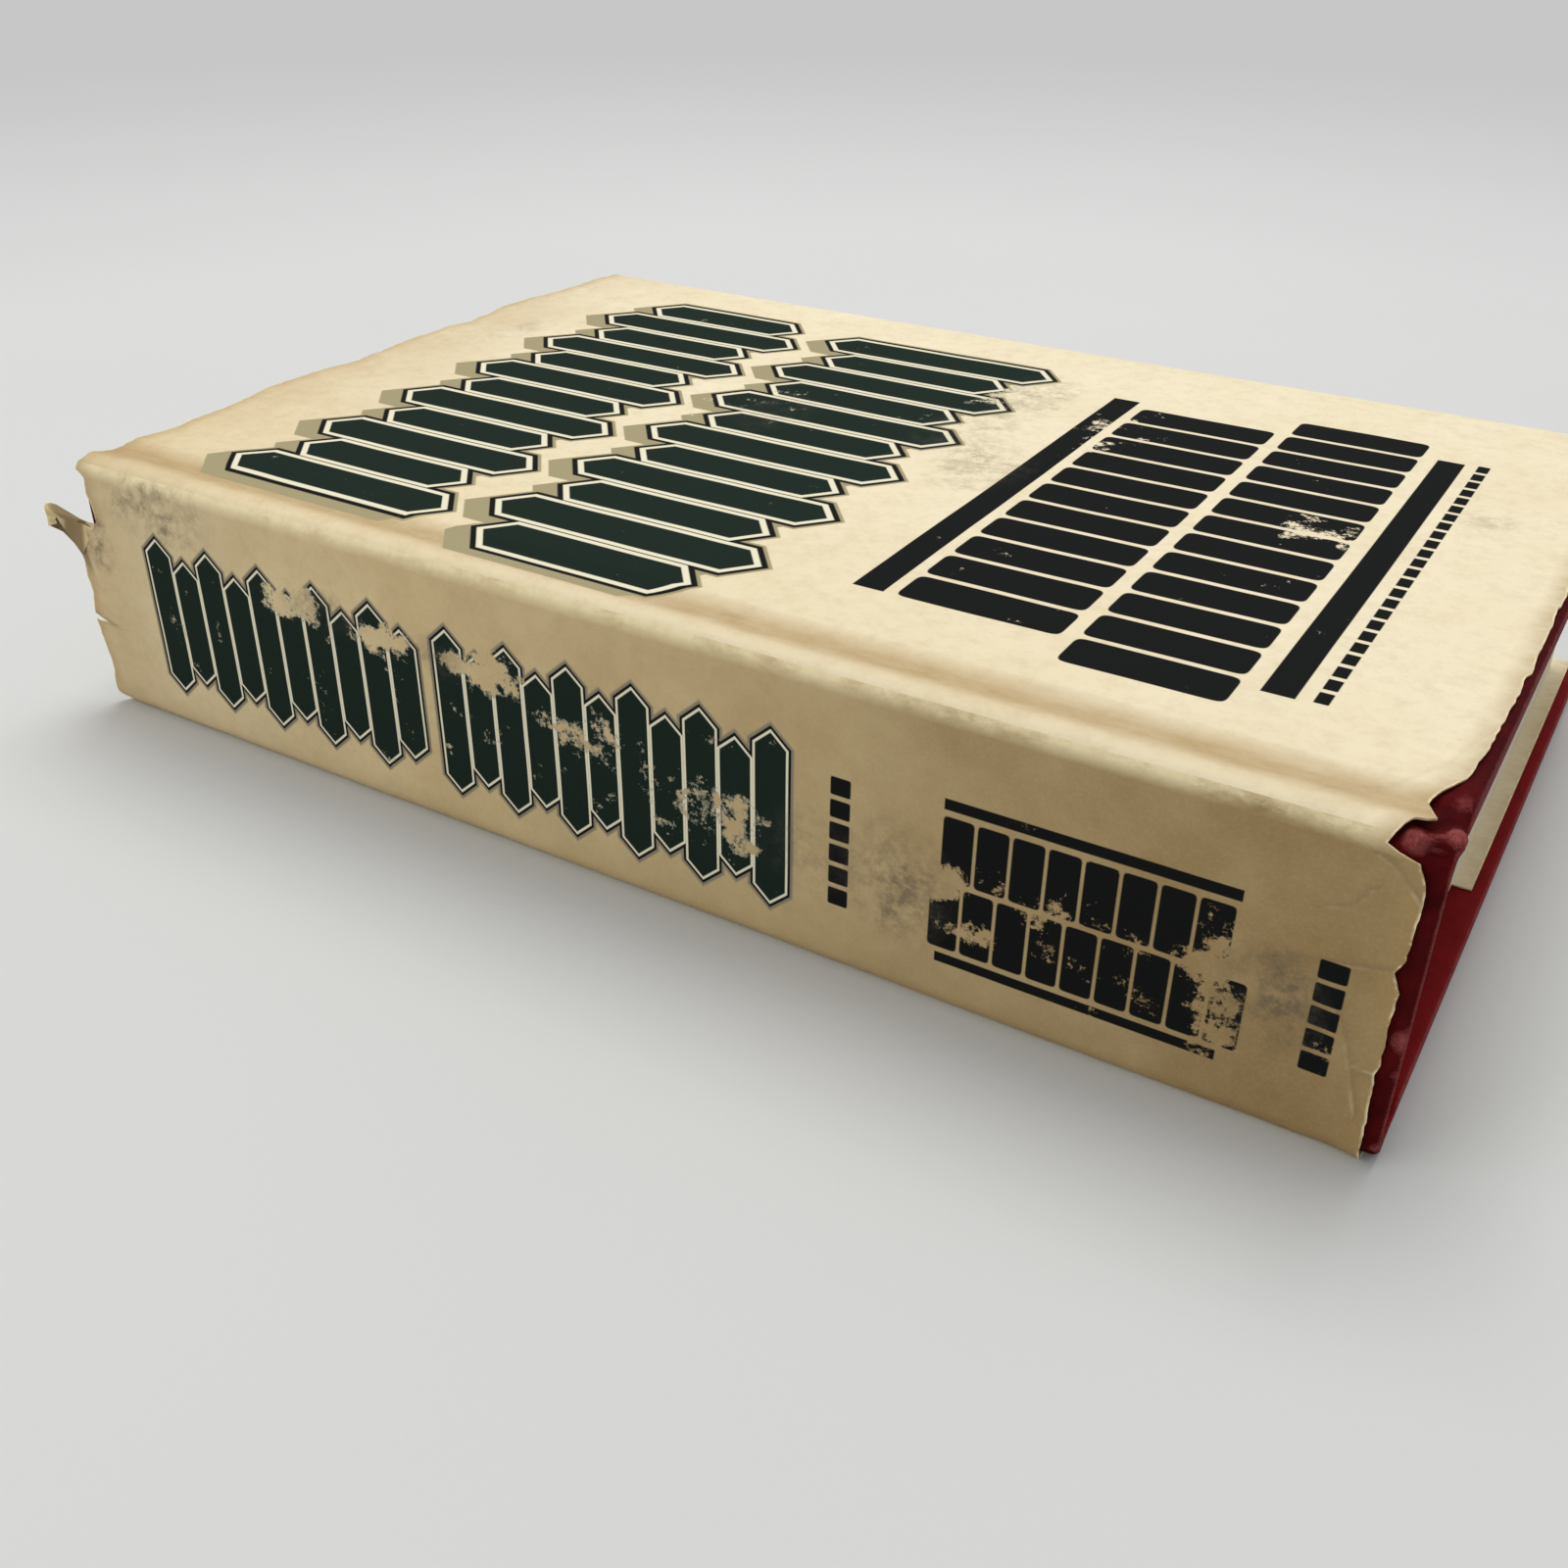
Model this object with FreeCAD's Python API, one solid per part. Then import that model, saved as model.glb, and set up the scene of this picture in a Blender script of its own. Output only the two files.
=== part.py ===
import FreeCAD, Part
import os

# A cased hardback book with a torn paper jacket, lying on its back cover. Lengths are in millimetres.
# X runs along the spine from the head edge to the tail edge, Y from the spine to the fore edge, Z up.
# The origin is on the underside, below the middle of the case.

# Outer sizes, over the jacket
case_height = 216.0
book_width = 146.0
book_thickness = 45.4

# Thickness of each sheet and board
jacket_thickness = 0.25
cloth_thickness = 0.45
board_thickness = 2.8
pastedown_thickness = 0.15
endpaper_thickness = 0.15
inlay_thickness = 0.8
gauze_thickness = 0.3
lining_thickness = 0.2

# The folds round the spine and the boards, measured on the jacket's outside
fold_radius = 3.0
edge_radius = 1.2

# The joints between the spine and the boards
joint_width = 7.8
groove_depth = 2.0
valley_depth = 0.5

# The text block and the sheets glued to it
head_tail_square = 4.5
fore_square = 4.5
hollow_gap = 0.15
lining_inset = 3.0

# The case's inside
turn_in = 15.0
pastedown_margin = 4.7
gauze_flange_width = 32.0

# The jacket has slid towards the head, and its flaps fold round the boards' fore edges
jacket_head_overhang = 4.0
jacket_tail_inset = 0.8
flap_width = 86.5

# The jacket's worn and torn edges. Each point is a share of the way along the edge and how many
# millimetres of paper are gone there. A negative number is paper that sticks out.
# On the front and back panels the share runs from the spine to the fore edge.
front_tail_wear = [
    (0.0, 4.4), (0.02, 2.6), (0.06, 4.0), (0.11, 1.3), (0.20, 0.6), (0.29, 0.2), (0.30, 0.7),
    (0.31, 0.1), (0.60, 0.3), (1.0, 0.2),
]
front_head_wear = [
    (0.0, 4.2), (0.04, 6.6), (0.13, 5.8), (0.22, 4.5), (0.29, 2.1), (0.39, 2.4), (0.43, 3.8),
    (0.55, 2.0), (0.62, 1.8), (0.66, 3.8), (0.75, 1.1), (0.86, 3.2), (1.0, 5.0),
]
back_tail_wear = [(0.0, 0.9), (0.30, 1.2), (0.62, 0.8), (1.0, 1.1)]
back_head_wear = [(0.0, 2.4), (0.25, 1.2), (0.55, 1.7), (1.0, 1.5)]
# On the spine the share runs from the back cover to the front cover.
spine_tail_wear = [
    (0.0, 0.9), (0.17, 1.1), (0.30, 1.6), (0.33, 1.3), (0.56, 1.4), (0.62, 2.3), (0.66, 1.3),
    (0.80, 1.0), (0.88, 1.3), (0.935, 2.4), (0.955, 6.2), (1.0, 4.4),
]
spine_head_wear = [
    (0.0, 2.4), (0.04, 0.6), (0.16, 0.7), (0.28, -0.7), (0.335, -1.2), (0.35, 4.0), (0.365, -1.0),
    (0.46, -0.3), (0.58, -1.1), (0.68, -4.9), (0.785, -8.6), (0.79, 1.2), (0.75, 4.9),
    (0.83, 5.0), (0.90, 4.7), (0.95, 2.4), (1.0, 4.2),
]

# Places worked out from the sizes above
half_height = case_height / 2
spine_y = -book_width / 2
fore_y = book_width / 2
board_y = spine_y + fold_radius + joint_width
# Heights in the back cover, from the table up. The front cover is the same turned over.
cloth_z = jacket_thickness
board_z = cloth_z + cloth_thickness
turn_in_z = board_z + board_thickness
turn_in_top = turn_in_z + cloth_thickness
flap_z = turn_in_top + pastedown_thickness
endpaper_z = flap_z + jacket_thickness
text_z = endpaper_z + endpaper_thickness
# Distances into the spine, from the jacket's face to the text block
inlay_y = spine_y + jacket_thickness + cloth_thickness
spine_turn_in_y = inlay_y + inlay_thickness
lining_y = spine_turn_in_y + cloth_thickness + hollow_gap
gauze_y = lining_y + lining_thickness
text_y = gauze_y + gauze_thickness
# The cloth's outer edge, the turn-ins' inner edges and the text block's far edges
cloth_fore_y = fore_y - jacket_thickness
window_x = half_height - turn_in
window_y = cloth_fore_y - turn_in
text_half_height = half_height - head_tail_square
text_fore_y = cloth_fore_y - fore_square
# The jacket's edges where no paper is gone
jacket_head_x = -half_height - jacket_head_overhang
jacket_tail_x = half_height - jacket_tail_inset
# How far a cutting shape reaches past what it cuts
clear = 1.0


def block(x0, x1, y0, y1, z0, z1):
    """A box between two corners."""
    return Part.makeBox(x1 - x0, y1 - y0, z1 - z0, FreeCAD.Vector(x0, y0, z0))


def long_block(half_length, y0, y1, z0, z1):
    """A box that reaches as far to the head as to the tail."""
    return block(-half_length, half_length, y0, y1, z0, z1)


def rounded_bar(x0, x1, y0, y1, z0, z1, radius):
    """A box whose two long edges on the fore side are rounded."""
    bar = block(x0, x1, y0, y1, z0, z1)
    fore_edges = []
    for edge in bar.Edges:
        box = edge.BoundBox
        if box.XLength > radius and abs(box.YMin - y1) < 0.001:
            fore_edges.append(edge)
    return bar.makeFillet(min(radius, (z1 - z0) * 0.45), fore_edges)


def turned_over(shape):
    """The same piece of the front cover: mirrored across the middle of the book's thickness."""
    return shape.mirror(FreeCAD.Vector(0, 0, book_thickness / 2), FreeCAD.Vector(0, 0, 1))


def sheet_along_x(corners, x0, x1):
    """A section of straight lines and three-point arcs in the YZ plane, carried from x0 to x1.

    Each corner is (y, z), or (y, z, middle_y, middle_z) where an arc through the middle leads to it.
    """
    edges = []
    last = corners[-1]
    for corner in corners:
        start = FreeCAD.Vector(x0, last[0], last[1])
        end = FreeCAD.Vector(x0, corner[0], corner[1])
        if len(corner) == 4:
            middle = FreeCAD.Vector(x0, corner[2], corner[3])
            edges.append(Part.Arc(start, middle, end).toShape())
        else:
            edges.append(Part.LineSegment(start, end).toShape())
        last = corner
    return Part.Face(Part.Wire(edges)).extrude(FreeCAD.Vector(x1 - x0, 0, 0))


def spine_wrap(inset, thickness, x0, x1):
    """A sheet round the spine from one joint to the other, its face `inset` inside the jacket's."""
    diagonal = 0.5 ** 0.5
    centre_y = spine_y + fold_radius
    low_z = fold_radius
    high_z = book_thickness - fold_radius
    outer = fold_radius - inset
    inner = outer - thickness
    return sheet_along_x(
        [
            (centre_y, low_z - outer),
            (centre_y - outer, low_z, centre_y - outer * diagonal, low_z - outer * diagonal),
            (centre_y - outer, high_z),
            (centre_y, high_z + outer, centre_y - outer * diagonal, high_z + outer * diagonal),
            (centre_y, high_z + inner),
            (centre_y - inner, high_z, centre_y - inner * diagonal, high_z + inner * diagonal),
            (centre_y - inner, low_z),
            (centre_y, low_z - inner, centre_y - inner * diagonal, low_z - inner * diagonal),
        ],
        x0,
        x1,
    )


def joint_strip(z, depth, thickness, x0, x1):
    """A sheet that bridges the back joint and sags into it by `depth`."""
    start_y = spine_y + fold_radius
    middle_y = start_y + joint_width / 2
    return sheet_along_x(
        [
            (start_y, z),
            (board_y, z, middle_y, z + depth),
            (board_y, z + thickness),
            (start_y, z + thickness, middle_y, z + depth + thickness),
        ],
        x0,
        x1,
    )


def edge_line(wear, edge_x, inward, start, length):
    """The worn edge as (x, place along the edge) points, run on a little past both its ends."""
    line = [(edge_x + inward * gone, start + share * length) for share, gone in wear]
    return [(line[0][0], start - clear)] + line + [(line[-1][0], start + length + clear)]


def kept_paper(head_wear, tail_wear, start, length, place, direction):
    """A solid that holds all the paper between a worn head edge and a worn tail edge.

    `place` turns an (x, place along the edge) point into a corner, and `direction` is the cut's way.
    """
    head = edge_line(head_wear, jacket_head_x, 1, start, length)
    tail = edge_line(tail_wear, jacket_tail_x, -1, start, length)
    corners = [place(x, along) for x, along in head + tail[::-1]]
    outline = Part.makePolygon(corners + corners[:1])
    return Part.Face(outline).extrude(direction)


def kept_panel(head_wear, tail_wear, z0, z1):
    """The paper that is left of a cover panel, between the heights z0 and z1."""
    return kept_paper(
        head_wear,
        tail_wear,
        spine_y,
        book_width,
        lambda x, y: FreeCAD.Vector(x, y, z0),
        FreeCAD.Vector(0, 0, z1 - z0),
    )


def kept_spine():
    """The paper that is left of the jacket's spine, with the folds beside it."""
    return kept_paper(
        spine_head_wear,
        spine_tail_wear,
        0.0,
        book_thickness,
        lambda x, z: FreeCAD.Vector(x, spine_y - clear, z),
        FreeCAD.Vector(0, fold_radius + 2 * clear, 0),
    )


def board():
    """A cover board, bare of cloth on its spine side."""
    half_length = half_height - cloth_thickness
    fore = cloth_fore_y - cloth_thickness
    radius = max(edge_radius - jacket_thickness - cloth_thickness, 0.1)
    return rounded_bar(-half_length, half_length, board_y, fore, board_z, turn_in_z, radius)


def board_cloth():
    """The case's cloth round a board, turned in over its head, tail and fore edges."""
    radius = edge_radius - jacket_thickness
    wrap = rounded_bar(
        -half_height, half_height, board_y, cloth_fore_y, cloth_z, turn_in_top, radius
    )
    window = long_block(window_x, board_y - clear, window_y, turn_in_z, turn_in_top + clear)
    return wrap.cut(board()).cut(window)


def gauze_flange():
    """The end of the gauze that is glued to a board, under the pastedown."""
    flange_end = board_y + gauze_flange_width
    return long_block(window_x, board_y, flange_end, turn_in_z, turn_in_z + gauze_thickness)


def pastedown():
    """The endpaper leaf glued inside a board. It steps down between the cloth's turn-ins."""
    leaf = long_block(
        half_height - pastedown_margin,
        board_y,
        cloth_fore_y - pastedown_margin,
        turn_in_z,
        flap_z,
    )
    step = pastedown_thickness
    flange_end = board_y + gauze_flange_width
    floor = turn_in_z + step
    recess = long_block(window_x - step, flange_end + step, window_y - step, floor, flap_z + clear)
    flange_recess = long_block(
        window_x - step,
        board_y - clear,
        flange_end + step,
        floor + gauze_thickness,
        flap_z + clear,
    )
    return leaf.cut(board_cloth()).cut(gauze_flange()).cut(recess).cut(flange_recess)


def jacket_cover(head_wear, tail_wear):
    """The jacket's panel over a board, round its fore edge and back inside as the flap."""
    outer = rounded_bar(
        jacket_head_x - clear, jacket_tail_x + clear, board_y, fore_y, 0.0, endpaper_z, edge_radius
    )
    inner = rounded_bar(
        jacket_head_x - 2 * clear,
        jacket_tail_x + 2 * clear,
        board_y - clear,
        cloth_fore_y,
        jacket_thickness,
        flap_z,
        edge_radius - jacket_thickness,
    )
    flap_start = fore_y - flap_width
    past_flap = block(
        jacket_head_x - 2 * clear,
        jacket_tail_x + 2 * clear,
        board_y - clear,
        flap_start,
        flap_z - jacket_thickness,
        endpaper_z + clear,
    )
    sheet = outer.cut(inner).cut(past_flap)
    middle = endpaper_z / 2
    panel = sheet.common(kept_panel(head_wear, tail_wear, -clear, middle))
    flap_space = block(
        jacket_head_x + head_wear[-1][1],
        jacket_tail_x - tail_wear[-1][1],
        board_y,
        fore_y + clear,
        middle,
        endpaper_z + clear,
    )
    return panel.fuse(sheet.common(flap_space)).removeSplitter()


def jacket_joint(head_wear, tail_wear):
    """The jacket's paper over a joint, which bends when the cover opens."""
    strip = joint_strip(
        0.0, valley_depth, jacket_thickness, jacket_head_x - clear, jacket_tail_x + clear
    )
    return strip.common(kept_panel(head_wear, tail_wear, -clear, valley_depth + 2 * clear))


def jacket_spine():
    """The jacket's paper over the spine, with its torn ends and the strip torn loose at the head."""
    longest = -min(gone for _, gone in spine_head_wear)
    wrap = spine_wrap(
        0.0, jacket_thickness, jacket_head_x - longest - clear, jacket_tail_x + clear
    )
    return wrap.common(kept_spine())


def cloth_joint():
    """The case's cloth in a joint groove. It is folded double where it turns in at head and tail."""
    strip = joint_strip(cloth_z, groove_depth, cloth_thickness, -half_height, half_height)
    second = joint_strip(
        cloth_z + cloth_thickness, groove_depth, cloth_thickness, -half_height, half_height
    )
    between = long_block(window_x, board_y - 2 * joint_width, board_y + clear, 0.0, text_z)
    return strip.fuse(second.cut(between)).removeSplitter()


def spine_inlay():
    """The strip of card that stiffens the case's spine."""
    return long_block(
        half_height - cloth_thickness,
        inlay_y,
        spine_turn_in_y,
        fold_radius,
        book_thickness - fold_radius,
    )


def spine_cloth():
    """The case's cloth round the spine, turned in over the ends of the inlay."""
    cloth = spine_wrap(jacket_thickness, cloth_thickness, -half_height, half_height)
    folded = long_block(
        half_height,
        inlay_y,
        spine_turn_in_y + cloth_thickness,
        fold_radius,
        book_thickness - fold_radius,
    )
    inner_face = long_block(
        window_x,
        spine_turn_in_y,
        spine_turn_in_y + 2 * cloth_thickness,
        0.0,
        book_thickness,
    )
    return cloth.fuse(folded.cut(spine_inlay()).cut(inner_face)).removeSplitter()


def text_block():
    """All the printed leaves, glued along the spine."""
    return long_block(text_half_height, text_y, text_fore_y, text_z, book_thickness - text_z)


def free_endpaper():
    """The endpaper leaf next to the text block."""
    return long_block(text_half_height, text_y, text_fore_y, endpaper_z, text_z)


def spine_gauze():
    """The gauze glued across the text block's spine."""
    return long_block(window_x, gauze_y, text_y, text_z, book_thickness - text_z)


def spine_lining():
    """The paper strip glued over the gauze."""
    return long_block(
        text_half_height - lining_inset, lining_y, gauze_y, text_z, book_thickness - text_z
    )


parts = {
    "text_block": text_block(),
    "spine_gauze": spine_gauze(),
    "spine_lining": spine_lining(),
    "spine_inlay": spine_inlay(),
    "spine_cloth": spine_cloth(),
    "jacket_spine": jacket_spine(),
    "back_endpaper": free_endpaper(),
    "front_endpaper": turned_over(free_endpaper()),
    "jacket_back": jacket_cover(back_head_wear, back_tail_wear),
    "jacket_front": turned_over(jacket_cover(front_head_wear, front_tail_wear)),
    "jacket_back_joint": jacket_joint(back_head_wear, back_tail_wear),
    "jacket_front_joint": turned_over(jacket_joint(front_head_wear, front_tail_wear)),
}
cover_pieces = {
    "board": board,
    "cloth": board_cloth,
    "joint_cloth": cloth_joint,
    "gauze_flange": gauze_flange,
    "pastedown": pastedown,
}
for name, make in cover_pieces.items():
    parts["back_" + name] = make()
    parts["front_" + name] = turned_over(make())

os.makedirs("parts", exist_ok=True)
for name, shape in parts.items():
    shape.exportStep("parts/" + name + ".step")
    print(name, len(shape.Solids), round(shape.Volume, 1), shape.isValid())
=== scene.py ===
"""A cased hardback book in a torn paper jacket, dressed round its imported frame.

X runs along the spine from head to tail, Y from the spine to the fore edge, Z up. Sizes in the
dataclasses are millimetres, and the meshes are metres.
"""

import logging
import math
from collections.abc import Callable
from dataclasses import dataclass, field
from enum import Enum

import bmesh
import bpy
import numpy as np
from mathutils import Matrix, Vector, noise


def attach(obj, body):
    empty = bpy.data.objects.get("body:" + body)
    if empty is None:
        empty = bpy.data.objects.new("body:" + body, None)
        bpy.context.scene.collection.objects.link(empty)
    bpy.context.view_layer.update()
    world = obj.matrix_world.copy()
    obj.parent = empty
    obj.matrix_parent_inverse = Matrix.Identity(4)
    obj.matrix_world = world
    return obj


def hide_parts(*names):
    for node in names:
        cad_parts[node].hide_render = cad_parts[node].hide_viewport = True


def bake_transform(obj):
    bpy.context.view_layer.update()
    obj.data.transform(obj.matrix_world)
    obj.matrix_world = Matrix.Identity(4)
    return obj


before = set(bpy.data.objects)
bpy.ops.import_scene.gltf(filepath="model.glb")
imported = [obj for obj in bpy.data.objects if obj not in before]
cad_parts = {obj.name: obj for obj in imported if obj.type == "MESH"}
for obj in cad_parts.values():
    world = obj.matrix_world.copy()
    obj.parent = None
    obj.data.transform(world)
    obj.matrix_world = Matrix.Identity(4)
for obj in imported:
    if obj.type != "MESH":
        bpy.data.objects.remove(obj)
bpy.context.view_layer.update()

logging.basicConfig(level=logging.INFO, format="%(message)s")
log = logging.getLogger("book")

MM = 0.001
QUARTER = math.pi / 2
Colour = tuple[float, float, float]
Profile = list[tuple[float, float]]


def srgb(red: int, green: int, blue: int) -> Colour:
    """Turns a colour as a paint chart gives it, 0 to 255, into the renderer's own scale.

    Args:
        red: The red share.
        green: The green share.
        blue: The blue share.

    Returns:
        The linear colour.
    """
    shares = (value / 255 for value in (red, green, blue))
    return tuple(s / 12.92 if s <= 0.04045 else ((s + 0.055) / 1.055) ** 2.4 for s in shares)


# ---- The book's sizes ----


@dataclass(frozen=True)
class BookSizes:
    """The book's outer sizes and its sheets' thicknesses, the same as the frame's."""

    half_height: float = 108.0
    spine_y: float = -73.0
    fore_y: float = 73.0
    thickness: float = 45.4
    jacket: float = 0.25
    cloth: float = 0.45
    fold_radius: float = 3.0
    edge_radius: float = 1.2
    joint_width: float = 7.8
    cover_depth: float = 4.35
    case_depth: float = 3.7
    jacket_head_x: float = -112.0
    jacket_tail_x: float = 107.2
    flap_end_y: float = -13.5
    turn_in: float = 15.0

    @property
    def fold_y(self) -> float:
        """Where the spine's folds meet the joints."""
        return self.spine_y + self.fold_radius

    @property
    def board_y(self) -> float:
        """Where the boards begin."""
        return self.fold_y + self.joint_width

    @property
    def fold_z(self) -> float:
        """The height of the front fold's centre."""
        return self.thickness - self.fold_radius


BOOK = BookSizes()


class Cover(Enum):
    """The side of the book that a sheet belongs to."""

    FRONT = "front"
    BACK = "back"


# ---- Tools of the bench ----


class Bench:
    """Edit-mode tools for one piece, used in the order that a maker would use them."""

    def __init__(self, name: str) -> None:
        """Takes up the primitive that was just added and opens it for editing.

        Args:
            name: The piece's name.
        """
        self.piece: bpy.types.Object = bpy.context.active_object
        self.piece.name = name
        self.piece.data.name = name
        bpy.ops.object.mode_set(mode="EDIT")

    @classmethod
    def grid(cls, name: str, cells: tuple[int, int], low: Vector, high: Vector) -> "Bench":
        """Starts a piece from a flat grid between two corners.

        Args:
            name: The piece's name.
            cells: The cells along X and along Y.
            low: The lowest corner, in millimetres.
            high: The highest corner, in millimetres.

        Returns:
            The bench with the grid on it.
        """
        bpy.ops.object.select_all(action="DESELECT")
        middle = (low + high) / 2 * MM
        bpy.ops.mesh.primitive_grid_add(
            x_subdivisions=cells[0], y_subdivisions=cells[1], size=1.0, location=middle
        )
        bench = cls(name)
        size = (high - low) * MM
        bpy.ops.transform.resize(value=(size.x, size.y, 1.0), center_override=middle)
        return bench

    @classmethod
    def block(cls, name: str, low: Vector, high: Vector) -> "Bench":
        """Starts a piece from a cube stretched between two corners, in millimetres."""
        bpy.ops.object.select_all(action="DESELECT")
        middle = (low + high) / 2 * MM
        bpy.ops.mesh.primitive_cube_add(size=1.0, location=middle)
        bench = cls(name)
        bpy.ops.transform.resize(value=(high - low) * MM, center_override=middle)
        return bench

    def pick(self, kind: str, test: Callable[[list[Vector]], bool], rim_only: bool = False) -> None:
        """Selects edges or faces whose corners pass a test.

        Args:
            kind: EDGE or FACE.
            test: Is given the corners' places in the row frame, in metres.
            rim_only: Leaves out edges that have a face on both sides.
        """
        bpy.ops.mesh.select_mode(type=kind)
        bpy.ops.mesh.select_all(action="DESELECT")
        mesh = bmesh.from_edit_mesh(self.piece.data)
        world = self.piece.matrix_world
        for part in mesh.edges if kind == "EDGE" else mesh.faces:
            if rim_only and not part.is_boundary:
                continue
            if test([world @ vert.co for vert in part.verts]):
                part.select_set(True)
        bmesh.update_edit_mesh(self.piece.data)

    def pull(self, step: Vector, times: int) -> None:
        """Extrudes the selected edges by a step in millimetres, several times over."""
        for _ in range(times):
            bpy.ops.mesh.extrude_edges_move(TRANSFORM_OT_translate={"value": step * MM})

    def turn(self, centre_y: float, centre_z: float, angle: float, steps: int) -> None:
        """Spins the selected edges about a line along X through (centre_y, centre_z)."""
        bpy.ops.mesh.spin(
            steps=steps,
            angle=angle,
            center=(0.0, centre_y * MM, centre_z * MM),
            axis=(1.0, 0.0, 0.0),
        )

    def merge(self) -> None:
        """Merges corners that lie in one place."""
        bpy.ops.mesh.select_mode(type="VERT")
        bpy.ops.mesh.select_all(action="SELECT")
        bpy.ops.mesh.remove_doubles(threshold=2e-6)

    def leave(self) -> bpy.types.Object:
        """Closes edit mode and puts the piece's place into its mesh.

        Returns:
            The piece.
        """
        bpy.ops.object.mode_set(mode="OBJECT")
        bpy.ops.object.transform_apply(location=True, rotation=True, scale=True)
        return self.piece


def read_places(piece: bpy.types.Object) -> np.ndarray:
    """Reads where a piece's corners are.

    Args:
        piece: A mesh object at the origin.

    Returns:
        One row of x, y, z in millimetres for each corner.
    """
    places = np.zeros(len(piece.data.vertices) * 3)
    piece.data.vertices.foreach_get("co", places)
    return places.reshape(-1, 3) / MM


def read_normals(piece: bpy.types.Object) -> np.ndarray:
    """Reads which way a piece's surface faces at each corner, one unit row for each."""
    normals = np.zeros(len(piece.data.vertices) * 3)
    piece.data.vertex_normals.foreach_get("vector", normals)
    return normals.reshape(-1, 3)


def write_places(piece: bpy.types.Object, places: np.ndarray) -> None:
    """Moves a piece's corners to new places in millimetres."""
    piece.data.vertices.foreach_set("co", (places * MM).ravel())
    piece.data.update()


def note(piece: bpy.types.Object, name: str, values: np.ndarray) -> None:
    """Keeps a number or a place for each corner, for the piece's material to read.

    Args:
        piece: The piece.
        name: What the material calls it.
        values: One number or one row of three for each corner.
    """
    vector = values.ndim == 2
    kept = piece.data.attributes.new(name, "FLOAT_VECTOR" if vector else "FLOAT", "POINT")
    kept.data.foreach_set("vector" if vector else "value", values.astype(np.float32).ravel())


def ripple(across: np.ndarray, along: np.ndarray, wave: float, seed: float) -> np.ndarray:
    """Works out smooth waves over a sheet.

    Args:
        across: The place across the sheet, in millimetres.
        along: The place along the sheet, in millimetres.
        wave: The distance from crest to crest, roughly.
        seed: Picks one set of waves.

    Returns:
        A number from about -1 to 1 for each place.
    """
    pairs = zip(across / wave, along / wave, strict=True)
    return np.array([noise.noise(Vector((u, v, seed))) for u, v in pairs])


def ramp(values: np.ndarray, start: float, end: float) -> np.ndarray:
    """Rises smoothly from 0 at start to 1 at end."""
    share = np.clip((values - start) / (end - start), 0, 1)
    return share * share * (3 - 2 * share)


def give_thickness(piece: bpy.types.Object, thickness: float, reverse: bool) -> None:
    """Makes a sheet solid, growing inwards, and shades it smoothly.

    Args:
        piece: The sheet.
        thickness: How thick it becomes, in millimetres.
        reverse: Dresses the sheet's reverse and its rim in its second material.
    """
    solid = piece.modifiers.new("thickness", "SOLIDIFY")
    solid.thickness = thickness * MM
    solid.offset = -1.0
    solid.use_even_offset = True
    if reverse:
        solid.material_offset = 1
        solid.material_offset_rim = 1
    finish_piece(piece, 50.0)


def finish_piece(piece: bpy.types.Object, smooth_below: float) -> None:
    """Applies a piece's modifiers and shades it smoothly up to an angle in degrees."""
    bpy.ops.object.select_all(action="DESELECT")
    piece.select_set(True)
    bpy.context.view_layer.objects.active = piece
    for modifier in list(piece.modifiers):
        bpy.ops.object.modifier_apply(modifier=modifier.name)
    bpy.ops.object.shade_smooth_by_angle(angle=math.radians(smooth_below))


# ---- Laying out materials ----


@dataclass(frozen=True)
class Field:
    """A value that a material works out at every point, with the usual arithmetic."""

    sketch: "Sketch"
    socket: bpy.types.NodeSocket

    def __add__(self, other: "Field | float") -> "Field":
        """Adds."""
        return self.sketch.math("ADD", self, other)

    def __sub__(self, other: "Field | float") -> "Field":
        """Takes away."""
        return self.sketch.math("SUBTRACT", self, other)

    def __mul__(self, other: "Field | float") -> "Field":
        """Multiplies."""
        return self.sketch.math("MULTIPLY", self, other)

    def __truediv__(self, other: "Field | float") -> "Field":
        """Divides."""
        return self.sketch.math("DIVIDE", self, other)

    def __neg__(self) -> "Field":
        """Turns the sign round."""
        return self.sketch.math("MULTIPLY", self, -1.0)

    def __abs__(self) -> "Field":
        """Drops the sign."""
        return self.sketch.math("ABSOLUTE", self)

    def most(self, other: "Field | float") -> "Field":
        """Takes the larger of the two."""
        return self.sketch.math("MAXIMUM", self, other)

    def least(self, other: "Field | float") -> "Field":
        """Takes the smaller of the two."""
        return self.sketch.math("MINIMUM", self, other)

    def under(self, edge: float, soft: float) -> "Field":
        """Is 1 below an edge and 0 above it, over a soft width."""
        scaled = self.sketch.math("MULTIPLY_ADD", self, -1.0 / soft, edge / soft + 0.5)
        return self.sketch.math("MAXIMUM", self.sketch.math("MINIMUM", scaled, 1.0), 0.0)

    def over(self, edge: float, soft: float) -> "Field":
        """Is 1 above an edge and 0 below it, over a soft width."""
        return (-self).under(-edge, soft)


Value = Field | float | Colour


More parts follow.
